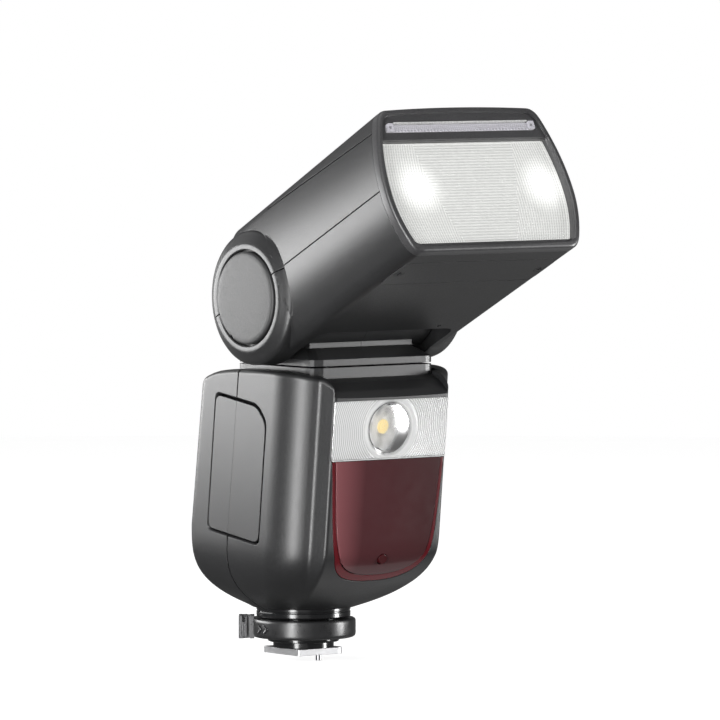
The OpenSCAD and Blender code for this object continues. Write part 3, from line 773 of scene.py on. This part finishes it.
def window_outline(grow):
    """The red window's outline: curves between the middles of the edges through WINDOW."""
    pts = [np.array((x + grow, z - grow if z < 40 else z)) for x, z in WINDOW]
    pts.append(np.array((0.0, pts[-1][1] - 0.1)))
    half = [pts[0]]
    for a, p, b in zip(pts, pts[1:], pts[2:]):
        half += bend(mix(a, p, 0.5), p, mix(p, b, 0.5), 4)
    return [tuple(p) for p in half] + [(-p[0], p[1]) for p in half[::-1]]


def leaning(angle, origin):
    """Placement of a face that leans: its own z runs up the face and its y points inwards."""
    return moved(*origin) @ Matrix.Rotation(angle, 4, "X")


AT_FRONT = leaning(asin(FRONT_LEAN), (0, -BODY_FRONT, LENS_TOP))
AT_BACK = leaning(asin(BACK_LEAN), (0, BODY_BACK, BOWL_TOP))


def peg(name, r, y0, y1, x=0.0, z=0.0, steps=72):
    return revolve(name, rect(0, r, y0, y1), "Y", (x, 0, z), steps)


def plate(name, y0, y1, outline):
    return prism(name, outline, "Y", y0, y1)


def build_body():
    outer = body_solid("outer")
    skin = Skin(outer)
    cut(outer, body_solid("hollow", t=WALL, proud=0, drop=4.4, r=0.5, rings=20))
    pocket = [(-60, 84.3), (-47.6, 84.3), (-44.8, 87.4), (-41.4, 89.8), (-38, DECK_Z),
              (5.4, DECK_Z), (7.4, 100), (-60, 100)]
    pocket = soften(pocket, 0.8, 4, {1, 2, 3, 4, 5})
    far = LENS_HALF + GAP
    cut(outer, prism("pocket", pocket, "X", -far, far),
        block("table_room", -26, 26, -38, 5.4, DECK_Z, 100),
        revolve("foot_room", rect(0, 15.22, 10, 19.2)),
        revolve("hub_room", rect(0, 9.3, 80, 100), "Z", (0, SWIVEL_Y, 0)),
        prism("battery_room", battery_outline(0.65), "X", -50, -29.4))
    # A chamfer round the battery's opening
    edge = ((-31.9, 0.6), (-32.5, 0.75), (-33.1, 1.4), (-33.6, 1.95))
    cut(outer, loft("battery_edge", [[(x, y, z) for y, z in battery_outline(grow)] for x, grow in edge]))
    cut(outer, plate("lamp_room", -60, -20, rect(-far, far, LENS_LOW - GAP, LENS_TOP + GAP)),
        plate("red_room", -60, -20, window_outline(0.15)))
    front = outer
    rear = copy_of(outer, "rear")
    keep_inside(front, seam_side(-SEAM_HALF))
    keep_inside(rear, seam_side(SEAM_HALF))
    add(rear, peg("dial_bed", 12.4, 15.6, 18.6, 0, DIAL_Z))
    cut(rear, revolve("dial_room", rect(5.9, 10.8, 16.8, 24), "Y", (0, 0, DIAL_Z)),
        peg("post_end", 6.2, 19.4, 24, 0, DIAL_Z), peg("set_room", 4.9, 10, 24, 0, DIAL_Z),
        place(plate("lcd_room", -3, 3, rect(-22.2, 22.2, 15.3, 41.7)), AT_BACK))
    for x in KEYS_X:
        cut(rear, place(plate("key_room", -9, 3, rect(x - 3.8, x + 3.8, 8.6, 12.6)), AT_BACK))
    for x, z in ((-20.5, 43.5), (20.5, 43.5), (-20.5, 32.5)):
        cut(rear, peg("button_room", 3.3, 10, 24, x, z))
    cut(rear, block("switch_room", 17.2, 23.8, 10, 24, 30.6, 34.4),
        place(plate("latch_room", -3, 3, rect(-27.4, -24, 17.8, 27.4)), AT_BACK),
        revolve("jack_room", rect(0, 3.05, 28, 38), "X", (0, 10, 52), 48),
        block("usb_room", 28, 40, 6.2, 11.8, 58.4, 70))
    finish_piece(front, "body_front", "body", "casing", ["front_shell"], [skin])
    finish_piece(rear, "body_rear", "body", "casing", ["rear_shell"], [skin])

    # Red window: a flush rim, and a face that stands proud of it with a bevelled edge
    rim = body_solid("red", t=-0.02)
    rim_skin = Skin(rim)
    cut(rim, body_solid("red_in", t=1.6, proud=1))
    keep_inside(rim, plate("red_edge", -60, -20, window_outline(0)))
    red = body_solid("red", t=-0.35)
    red_skin = Skin(red)
    cut(red, body_solid("red_in", t=1.6, proud=1))
    edge = ((12, -1.35), (0.15, -1.35), (-0.1, -1.45), (-0.3, -1.8), (-0.6, -2.3))
    rings = [[(x, y, z - LENS_TOP) for x, z in window_outline(grow)] for y, grow in edge]
    keep_inside(red, place(clean(loft("red_edge", rings)), AT_FRONT))
    opening = [(x, z - LENS_TOP) for x, z in window_outline(-1.2)]
    cut(rim, place(plate("opening", -3, 12, opening), AT_FRONT))
    cut(red, peg("sensor_hole", 1.75, -60, -20, 0, SENSOR_Z))
    sensor = revolve("sensor", [(0, 1.6), (0, -0.22), (1.5, -0.22), (1.62, -0.1), (1.62, 1.6)], "Y",
                     (0, 0, (SENSOR_Z - LENS_TOP) / cos(asin(FRONT_LEAN))), 64)
    place(sensor, AT_FRONT)
    finish_piece(sensor, "red_window_sensor", "body", "red_dark")
    finish_piece(red, "red_window", "body", "red", ["af_window"], [red_skin])
    finish_piece(rim, "red_window_rim", "body", "red_rim", (), [rim_skin])


build_body()


# ---- Head ----

HEAD_HALF, HEAD_L, HEAD_LOW, HEAD_HIGH = 37.4, 81.4, 21.0, 28.4
SPLIT_V, BEZEL_S, BAY_S, CUT_S = 1.2, 78.0, 21.5, 19.0
EAR_IN, DRUM_R, CAP_R, BARREL_R, REAR_S = 27.0, 21.4, 14.8, 18.5, -4.7
WINDOW_LOW, WINDOW_HIGH = -17.7, 17.1

# In the head's own frame the lens faces -Y, so a distance s ahead of the hinge is y = -s.
# The sides are widest at the height BULGE, and curve in faster below it than above
BULGE, BOW_HIGH, BOW_LOW = -1.3, 0.0077, 0.0135
CORNER, SCREW_S = 4.6, 64.5


def side_x(s, v):
    k = BOW_HIGH if v > BULGE else BOW_LOW
    return HEAD_HALF - 0.6 * (HEAD_L - s) / HEAD_L - k * (v - BULGE) ** 2


def roof(s):
    return HEAD_HIGH - 0.03 * (HEAD_L - s)


def head_half_outline(s, t=0.0, lower=0.0):
    """Right half of the head's section, from the middle of the roof to the middle underneath."""
    top, low = roof(s) - t - lower, -HEAD_LOW + t
    pts = []
    ex = side_x(s, top - CORNER) - t
    knee = ex - CORNER

    def crown(x):
        return top - 0.0009 * x * x

    for x in np.linspace(0, knee, 12)[:-1]:
        pts.append((x, crown(x)))
    side_slope = 2 * BOW_HIGH * (top - CORNER - BULGE)
    a = np.array((knee, crown(knee)))
    c = np.array((ex, top - CORNER))
    p = np.array((ex + side_slope * -3.6, top - 0.9))
    pts += bend(a, p, c, 12)
    for v in np.linspace(top - CORNER, -16.2, 22)[1:]:
        pts.append((side_x(s, v) - t, v))
    b = np.array((side_x(s, -16.2) - t, -16.2))
    e = np.array((side_x(s, -16.2) - t - CORNER, low))
    q0 = np.array((side_x(s, -19.6) - t, low + 0.3))
    pts += bend(b, q0, e, 10)[1:]
    for x in np.linspace(e[0], 0, 9)[1:]:
        pts.append((x, low))
    return pts


def head_ring(s, t=0.0, lower=0.0):
    return np.array([(x, -s, v) for x, v in whole(head_half_outline(s, t, lower))])


def head_solid(name, t, s0, s1, steps=10, rear_round=0.0):
    rings = [head_ring(s, t) for s in np.linspace(s1, s0 + rear_round, steps)]
    for k in range(1, 8 if rear_round else 0):
        a = pi / 2 * k / 7
        s = s0 + rear_round * (1 - sin(a))
        rings.append(head_ring(s, t, rear_round * (1 - cos(a))))
    return clean(loft(name, rings))


def head_box(name, x0, x1, s0, s1, v0, v1):
    return block(name, x0, x1, -s1, -s0, v0, v1)


FLANK = [(17.3, 37.05), (17.9, 36.75), (18.6, 36.35), (19.6, 35.9), (20.6, 35.35)]


def sided(profile, side):
    return [(r, side * h) for r, h in profile]


def ear(side):
    profile = [(0, EAR_IN), (DRUM_R, EAR_IN), (DRUM_R, 34.0), (21.2, 34.7), *FLANK[::-1], (16.8, 37.15),
               (16.1, 37.12), (0, 37.1)]
    return revolve("ear", sided(profile, side), "X")


def valley(side):
    """The channel between the drum's flank and the head's side."""
    profile = [*FLANK, (21.2, 34.9), (21.7, 34.8), (22.1, 35.0), (22.4, 35.5), (22.6, 36.2), (22.9, 40),
               (17.3, 40)]
    return revolve("valley", sided(profile, side), "X")


def wedge(shift):
    """Everything above the sloping edge of the head's top cover."""
    rise = 2.5 / 66
    return prism("wedge", [(-17, 23.1 + shift), (-17, 60), (-100, 60), (-100, 23.1 - 83 * rise + shift)],
                 "X", -60, 60)


def window_half(v):
    return side_x(HEAD_L, v) - 2.3


def window_loop(t=0.0, steps=20, r=2.2):
    vs = np.linspace(WINDOW_LOW + t, WINDOW_HIGH - t, steps)
    right = [(window_half(v) - t, v) for v in vs]
    left = [(-x, v) for x, v in right[::-1]]
    n = len(right)
    return soften(right + left, r, 6, {0, n - 1, n, 2 * n - 1})


def slot_loop(grow=0.0):
    pts = [(-30.2 - grow, 19.9 - grow), (30.2 + grow, 19.9 - grow), (29.4 + grow, 23.3 + grow),
           (-29.4 - grow, 23.3 + grow)]
    return soften(pts, 0.5, 3)


def build_head():
    outer = head_solid("head", 0, REAR_S, BEZEL_S, 12, 2.6)
    add(outer, *[ear(side) for side in (-1, 1)])
    cut(outer, valley(-1), valley(1))
    cut(outer, head_solid("bay", WALL, BAY_S, BEZEL_S + 3, 4))
    barrel = BARREL_R + 0.7
    cut(outer, revolve("barrel_room", rect(0, barrel, -EAR_IN, EAR_IN), "X"))
    cut(outer, head_box("neck_room", -EAR_IN, EAR_IN, -60, 1, -60, 60))
    mouth = soften(rect(-EAR_IN, EAR_IN, 1, -CUT_S), 5.0, 8, {2, 3})
    cut(outer, prism("mouth", mouth, "Z", -60, -10))
    cut(outer, revolve("axle_room", rect(0, 5.1, -33.8, 33.8), "X"))
    for side in (-1, 1):
        profile = [(0, 35.2), (CAP_R + 0.5, 35.2), (CAP_R + 0.5, 36.8), (CAP_R + 0.75, 37.05),
                   (CAP_R + 1.1, 37.3), (CAP_R + 1.1, 45), (0, 45)]
        cut(outer, revolve("cap_room", sided(profile, side), "X"))
    upper, lower = outer, copy_of(outer, "lower")
    half = 0.18
    keep_inside(upper, head_box("above", -60, 60, -60, 100, SPLIT_V + half, 60))
    cut(upper, wedge(-half))
    keep_inside(lower, head_box("below", -60, 60, -60, 100, -60, SPLIT_V - half))
    panel = [(x, y - SCREW_S) for x, y in rounded_box(30.65, 8.15, 3.2)]
    cut(lower, prism("panel_room", panel, "Z", -30, -HEAD_LOW + 0.8))
    for x in (-28, 28):
        cut(lower, revolve("screw_room", rect(0, 1.25, -30, -14), "Z", (x, -SCREW_S, 0), 32))
    cut(lower, revolve("dot", rect(0, 0.75, -30, -20), "Z", (18.4, -21.3, 0), 32))
    cover = head_solid("cover", 0, 17.2, BEZEL_S, 8)
    keep_inside(cover, wedge(half))
    cut(cover, head_solid("cover_in", WALL, 10, BEZEL_S + 3, 4))
    for obj in (upper, lower, cover):
        place(obj, IN_HEAD)
    skins = [Skin(place(head_solid("skin", 0, REAR_S, BEZEL_S, 12, 2.6), IN_HEAD))]
    remove(bpy.data.objects["skin"])
    finish_piece(upper, "head_upper", "head", "casing", ["head_upper_shell"], skins)
    finish_piece(lower, "head_lower", "head", "casing", ["head_lower_shell"], skins)
    finish_piece(cover, "head_cover", "head", "casing", ["head_top_cover"], skins)

    # Bezel: rounded front edge, a step inside it and a flared window
    edge = ((HEAD_L, 0.9), (HEAD_L - 0.15, 0.48), (HEAD_L - 0.4, 0.22), (HEAD_L - 0.75, 0.06),
            (HEAD_L - 1.1, 0), (BEZEL_S + 0.1, 0))
    bezel = [[(x, -s, v) for x, v in whole(head_half_outline(BEZEL_S, t))] for s, t in edge]
    bezel = clean(loft("bezel", bezel))
    inner = whole(head_half_outline(BEZEL_S, 1.9))
    cut(bezel, clean(loft("step", [[(x, -s, v) for x, v in inner] for s in (HEAD_L + 1, HEAD_L - 0.7)])))
    flare = HEAD_L + 1
    for back, back_s, front, front_s in (
            (window_loop(), BEZEL_S - 1, window_loop(), HEAD_L - 1.2),
            (window_loop(-0.05), HEAD_L - 1.3, window_loop(-0.9), flare),
            (slot_loop(), BEZEL_S - 1, slot_loop(0.1), flare)):
        cut(bezel, clean(loft("opening", [[(x, -front_s, v) for x, v in front],
                                          [(x, -back_s, v) for x, v in back]])))
    place(bezel, IN_HEAD)
    finish_piece(bezel, "head_bezel", "head", "bezel", ["front_bezel"], angle=35)

    # Hinge caps with a rounded rim
    for side, name in ((-1, "cap_battery_side"), (1, "cap_port_side")):
        profile = [(0, 35.3), (CAP_R - 0.2, 35.3), (CAP_R, 35.5), (CAP_R, 37.0), (CAP_R - 0.08, 37.25),
                   (CAP_R - 0.3, 37.5), (CAP_R - 0.75, 37.66), (CAP_R - 2, 37.72),
                   (CAP_R - 7, 37.78), (0, 37.8)]
        cap = revolve(name, sided(profile, side), "X", steps=160)
        notch = head_box("notch", *sorted((side * 36.8, side * 39)), -CAP_R - 1, -CAP_R + 0.9, -0.8, 0.8)
        place(notch, turned(-35, "X"))
        cut(cap, notch)
        place(cap, IN_HEAD)
        finish_piece(cap, name, "head", "cap", ["hinge_caps"] if side < 0 else (), angle=30)


build_head()


# ---- Lamp window ----

def build_lamp():
    low = LENS_LOW - LENS_TOP + 0.1
    # A shallow dome, the moat round it, and saw-toothed rings out to the lens's corners
    dome_r, dome_arc, squash, front = 12.9, 0.62, 0.34, -0.55
    profile = [(0, 1.2), (0, front)]
    for k in range(1, 13):
        a = k / 12 * dome_arc
        profile.append((dome_r * sin(a), front + dome_r * (1 - cos(a)) * squash))
    profile += [(8.0, 0.75), (8.6, 0.5), (9.3, 0.2), (10.2, 0.16), (10.7, 0.2), (10.9, 0.5), (11.2, 0.2)]
    r = FIRST_RING
    while r < 25:
        profile += [(r, 0.12), (r + 0.62, 0.4), (r + 0.74, 0.12)]
        r += RING_STEP
    profile += [(25.4, 0.15), (25.4, 2.6), (8.6, 2.6), (8.3, 1.2)]
    lens = revolve("lamp", profile, "Y", (0, 0, LAMP_Z), 160)
    edge = soften(rect(-LENS_HALF, LENS_HALF, low, 0), 0.5, 3)
    keep_inside(lens, plate("lamp_edge", -1, 3, edge))
    place(lens, AT_FRONT)
    finish_piece(lens, "lamp_window", "body", "lamp_lens", ["lamp_lens"], angle=20)
    back = plate("back", 2.7, 2.95, [(x, z + LAMP_Z) for x, z in rounded_box(22.3, 8.9, 0.8)])
    cut(back, peg("cup_hole", 7.6, 0, 5, 0, LAMP_Z))
    place(back, AT_FRONT)
    finish_piece(back, "lamp_backing", "body", "backing", angle=30)
    cup = [(2.5, 3.1), (3.6, 3.0), (5.0, 2.6), (6.2, 2.1), (7.2, 1.6), (7.6, 1.35), (8.1, 1.35), (8.1, 2.0),
           (7.0, 2.9), (5.2, 3.6), (2.5, 3.8)]
    cup = place(revolve("cup", cup, "Y", (0, 0, LAMP_Z), 96), AT_FRONT)
    finish_piece(cup, "lamp_cup", "body", "lamp_cup", ["lamp_reflector"], angle=40)
    sill = block("sill", -LENS_HALF + 0.2, LENS_HALF - 0.2, -0.25, 1.2, low - 0.42, low - 0.12)
    finish_piece(place(sill, AT_FRONT), "lamp_sill", "body", "backing", angle=30)
    dot = [(0, 1.75), (1.9, 1.8), (2.3, 1.9), (2.45, 2.1), (2.45, 8.1), (0, 8.1)]
    dot = place(revolve("dot", dot, "Y", (0, 0, LAMP_Z), 64), AT_FRONT)
    finish_piece(dot, "lamp_phosphor", "body", "phosphor", angle=50)


# ---- Flash window, wide panel and bounce card ----

def ridge(t):
    """A triangle wave from 0 to 1."""
    t = t % 1.0
    return 2 * t if t < 0.5 else 2 - 2 * t


def sheet_solid(name, front, back):
    """A closed solid between two grids of points with the same outline."""
    m, n = len(front), len(front[0])
    verts = [p for row in front for p in row] + [p for row in back for p in row]
    off = m * n
    faces = []
    for i in range(m - 1):
        for j in range(n - 1):
            a = i * n + j
            faces.append([a, a + 1, a + n + 1, a + n])
            faces.append([off + a, off + a + n, off + a + n + 1, off + a + 1])
    edge = ([j for j in range(n)] + [i * n + n - 1 for i in range(1, m)]
            + [(m - 1) * n + j for j in range(n - 2, -1, -1)] + [i * n for i in range(m - 2, 0, -1)])
    for a, b in zip(edge, edge[1:] + edge[:1]):
        faces.append([a, off + a, off + b, b])
    return clean(mesh_object(name, verts, faces))


def build_flash_window():
    # Level ribs in the middle, and upright ones towards each end, over a flat back
    face_s, back_s = 78.9, 76.7
    ribs_v, ribs_u = 36, 34
    vs = np.linspace(WINDOW_LOW + 0.15, WINDOW_HIGH - 0.15, ribs_v * 4 + 1)
    half_us = list(np.linspace(0, 0.25, 8)) + list(np.linspace(0.27, 1.0, ribs_u * 3 + 1))
    us = [-u for u in half_us[:0:-1]] + half_us
    front, back = [], []
    for i, v in enumerate(vs):
        border = mix(0.32, 0.6, i / (len(vs) - 1))
        row, under = [], []
        for u in us:
            w = min(1, max(0, (abs(u) - border) / 0.012))
            across = ridge(i / 4)
            along = ridge((abs(u) - 0.27) / 0.73 * ribs_u * 3 / 4)
            h = 0.2 * ((1 - w) * across + w * (0.9 * along + 0.3 * across))
            if i in (0, len(vs) - 1) or abs(u) == 1:
                h = 0
            x = u * (window_half(v) - 0.15)
            row.append((x, -(face_s + h - 0.2), v))
            under.append((x, -back_s, v))
        front.append(row)
        back.append(under)
    lens = place(sheet_solid("flash", front, back), IN_HEAD)
    finish_piece(lens, "flash_window", "head", "flash_lens", ["flash_lens"], angle=12)

    # Wide panel: a dotted strip over a dashed row, a curved ridge between, and a clear tab at each end
    rows = np.linspace(20.05, 22.45, 25)
    xs = np.linspace(-27, 27, 271)
    front, back = [], []
    for v in rows:
        row = []
        for x in xs:
            line = 20.95 - 0.55 * exp(-(x / 6.0) ** 2)
            dots = 0.16 * abs(sin(pi * x / 0.8) * sin(pi * (v - line) / 0.8))
            dashes = 0.2 * max(0.0, sin(2 * pi * x / 1.3))
            bump = (dots if v > line else dashes) + 0.22 * exp(-((v - line) / 0.13) ** 2)
            edge = min(1.0, (v - rows[0]) / 0.15, (rows[-1] - v) / 0.15, (27 - abs(x)) / 0.3)
            row.append((x, -(HEAD_L - 0.8 + bump * edge), v))
        front.append(row)
        back.append([(x, -33.0, v) for x in xs])
    panel = sheet_solid("panel", front, back)
    for side in (-1, 1):
        lo_x, hi_x = sorted((side * 26.9, side * 29.2))
        tab = soften(rect(lo_x, hi_x, 20.1, 22.9), 0.5, 3)
        tab = plate("tab", -(HEAD_L - 0.15), -(HEAD_L - 4), tab)
        nick = soften(rect(side * 28.1 - 0.6, side * 28.1 + 0.6, 21.0, 21.9), 0.25, 2)
        cut(tab, plate("nick", -(HEAD_L + 1), -(HEAD_L - 1.6), nick))
        add(panel, tab)
    place(panel, IN_HEAD)
    finish_piece(panel, "wide_panel_strip", "wide_panel", "wide", ["wide_panel"], angle=30)
    card = soften(rect(-26.6, 26.6, 22.7, 23.2), 0.2, 3)
    card = place(plate("card", -(HEAD_L - 0.1), -34, card), IN_HEAD)
    finish_piece(card, "bounce_card_sheet", "bounce_card", "white", ["bounce_card"],
                 angle=40)


# ---- Foot ----

RING_R = 16.9


def build_foot():
    ring = [(11.0, 5.3), (15.7, 5.3), (16.25, 5.45), (16.65, 5.75), (16.85, 6.2), (RING_R, 6.7),
            (RING_R, 10.3), (16.85, 10.8), (16.65, 11.2), (16.3, 11.42), (15.8, 11.5), (12.35, 11.5),
            (12.35, 6.35), (11.0, 6.35)]
    ring = revolve("ring", ring, "Z", steps=192)
    tab = [(15.9, -3.8), (20.4, -3.8), (20.9, -3.3), (20.9, 3.3), (20.4, 3.8), (15.9, 3.8)]
    lever = prism("lever", soften(tab, 0.5, 3, {2, 3}), "Z", 4.9, 12.2)
    for y in (-2.3, 0, 2.3):
        cut(lever, block("rib", 20.45, 22, y - 0.55, y + 0.55, 3, 13))
    for y0, y1 in ((-5, -2.4), (2.4, 5)):
        cut(lever, block("slit", 17.2, 18.2, y0, y1, 3, 13))
    cut(lever, block("notch", 18.6, 19.7, 1.6, 5, 10.2, 13),
        block("foot_notch", 18.2, 19.4, 2.6, 5, 3, 5.6))
    for x in (19.0, 19.75, 20.35):
        cut(lever, block("groove", x, x + 0.2, 3.6, 5, 5.9, 9.9))
    cut(lever, block("pocket", 18.6, 20.0, -2.4, 2.4, 10.8, 13))
    place(lever, turned(142, "Z"))
    # Generic turn mark: two raised chevrons
    mark = None
    for shift in (-1.4, 1.4):
        for side in (-1, 1):
            bar = block("bar", -1.05, 1.05, -0.5, 0.06, -0.14, 0.14)
            angle = -178 + shift * 3.4
            spot = (RING_R * cos(radians(angle)), RING_R * sin(radians(angle)), 8.5)
            lean = moved(0, 0, side * 0.6) @ turned(side * 42, "Y")
            place(bar, moved(*spot) @ turned(angle + 90, "Z") @ lean)
            mark = bar if mark is None else add(mark, bar)
    finish_piece(mark, "lock_mark", "lock_ring", "steel", angle=30)
    finish_piece(ring, "lock_wheel", "lock_ring", "ring", ["lock_ring"], angle=25)
    finish_piece(lever, "lock_lever", "lock_ring", "lever", angle=30)

    base = [(0, 2.0), (9.75, 2.0), (9.8, 2.1), (9.8, 3.9), (11.2, 3.9), (11.45, 4.05), (11.5, 4.3),
            (11.5, 4.9), (11.4, 5.0), (10.8, 5.0), (10.8, 6.6), (12.2, 6.6), (12.2, 11.85), (14.6, 11.85),
            (15.0, 12.0), (15.2, 12.35), (15.2, 13.6), (15.0, 13.8), (15.0, 14.05), (15.2, 14.25),
            (15.2, 17.2), (0, 17.2)]
    base = revolve("base", base, "Z", steps=160)
    cut(base, revolve("pin_room", rect(0, 0.96, 0, 12), "Z", (0, -8, 0), 32))
    for x in (-3.75, -1.25, 1.25, 3.75):
        cut(base, revolve("small_room", rect(0, 0.8, 0, 5), "Z", (x, 4.3, 0), 32))
    cut(base, revolve("centre_room", rect(0, 1.34, 0, 5), "Z", (0, 0, 0), 32))
    finish_piece(base, "foot_column", "body", "gloss", ["foot_base"], angle=25)


def build_marks():
    """Plain raised bars over the four soft keys."""
    marks = None
    for x in KEYS_X:
        face = 0.03 - BOW * x * x
        bar = block("bar", x - 1.2, x + 1.2, -0.5, face, 13.5, 13.8)
        marks = bar if marks is None else add(marks, bar)
    place(marks, AT_BACK)
    finish_piece(marks, "key_marks", "body", "backing", angle=30)


build_lamp()
build_flash_window()
build_foot()
build_marks()


# ---- Finishes of the CAD nodes that stay ----

FINISH = {
    "casing": "turntable swivel_plate neck_cover_left neck_cover_right screw_panel"
              " battery_case_front battery_case_rear",
    "black": "af_emitter battery_bay head_screws card_tray zoom_carriage battery_latch control_dial"
             " set_button soft_key_1 soft_key_2 soft_key_3 soft_key_4 mode_button menu_button"
             " test_button power_switch",
    "steel": "body_screws sync_jack usb_socket lock_pin swivel_hub tilt_axle zoom_rails zoom_motor"
             " zoom_screw",
    "board": "lamp_board main_board",
    "cell": "main_capacitor battery_cells",
    "gloss": "optic_sensor",
    "screen": "lcd_window",
    "panel": "lcd_module",
    "gold": "battery_contacts",
    "shoe": "shoe_plate",
    "contact": "contact_pins",
    "polished": "flash_reflector",
    "tube": "flash_tube",
}

for key, names in FINISH.items():
    for node in names.split():
        paint(NODES[node], key)


# ---- Floor and light ----

def area_light(name, at, aim, size, watts):
    data = bpy.data.lights.new(name, "AREA")
    data.shape = "RECTANGLE"
    data.size, data.size_y = size
    data.energy = watts
    lamp = link(bpy.data.objects.new(name, data))
    lamp.location = at
    lamp.rotation_mode = "QUATERNION"
    lamp.rotation_quaternion = (Vector(at) - Vector(aim)).to_track_quat("Z", "Y")


def make_stage():
    low = cad_bounds[0].z - 0.0002
    steps = [2 * pi * k / 96 for k in range(96)]
    me = bpy.data.meshes.new("floor")
    me.from_pydata([(1.1 * cos(a), 1.1 * sin(a), low) for a in steps], [], [list(range(96))])
    floor = link(bpy.data.objects.new("floor", me))
    n = Nodes("floor_paint")
    n.set(Base_Color=n.mottle(0.3, (0.2, 0.48), (0.8, 0.5)))
    n.set(Roughness=0.9, Emission_Color=(1, 1, 1, 1), Emission_Strength=0.86)
    me.materials.append(n.mat)
    floor.visible_diffuse = False
    floor.visible_glossy = False
    floor.visible_shadow = False
    world = bpy.data.worlds.new("studio")
    bpy.context.scene.world = world
    world.use_nodes = True
    tree = world.node_tree
    back = tree.nodes["Background"]
    back.inputs["Color"].default_value = (1, 1, 1, 1)
    seen = tree.nodes.new("ShaderNodeLightPath").outputs["Is Camera Ray"]
    strength = tree.nodes.new("ShaderNodeMapRange")
    tree.links.new(seen, strength.inputs["Value"])
    strength.inputs["To Min"].default_value = 0.09
    strength.inputs["To Max"].default_value = 1.0
    tree.links.new(strength.outputs["Result"], back.inputs["Strength"])
    aim = (0, -0.02, 0.09)
    area_light("left_strip", (-0.98, -0.49, 0.1), aim, (0.26, 1.4), 13.5)
    area_light("back_left", (-0.2, 0.275, 0.115), (-0.035, -0.03, 0.1), (0.36, 0.13), 1.0)
    area_light("back_high", (-0.2, 0.9, 0.75), aim, (0.7, 0.5), 0.6)
    area_light("right_box", (0.91, -0.7, 0.1), aim, (0.24, 0.5), 7.5)
    area_light("top_box", (0.0, -0.2, 1.6), aim, (1.4, 1.4), 6)
    area_light("front_box", (-1.71, -2.21, 0.3), aim, (1.6, 1.2), 2)
    area_light("low_right", (0.8, 0.08, -0.72), aim, (0.8, 0.8), 0.75)
    area_light("low_back", (1.1, 1.4, -0.22), aim, (2.2, 1.0), 0.7)
    bpy.context.scene.view_settings.view_transform = "Standard"


make_stage()
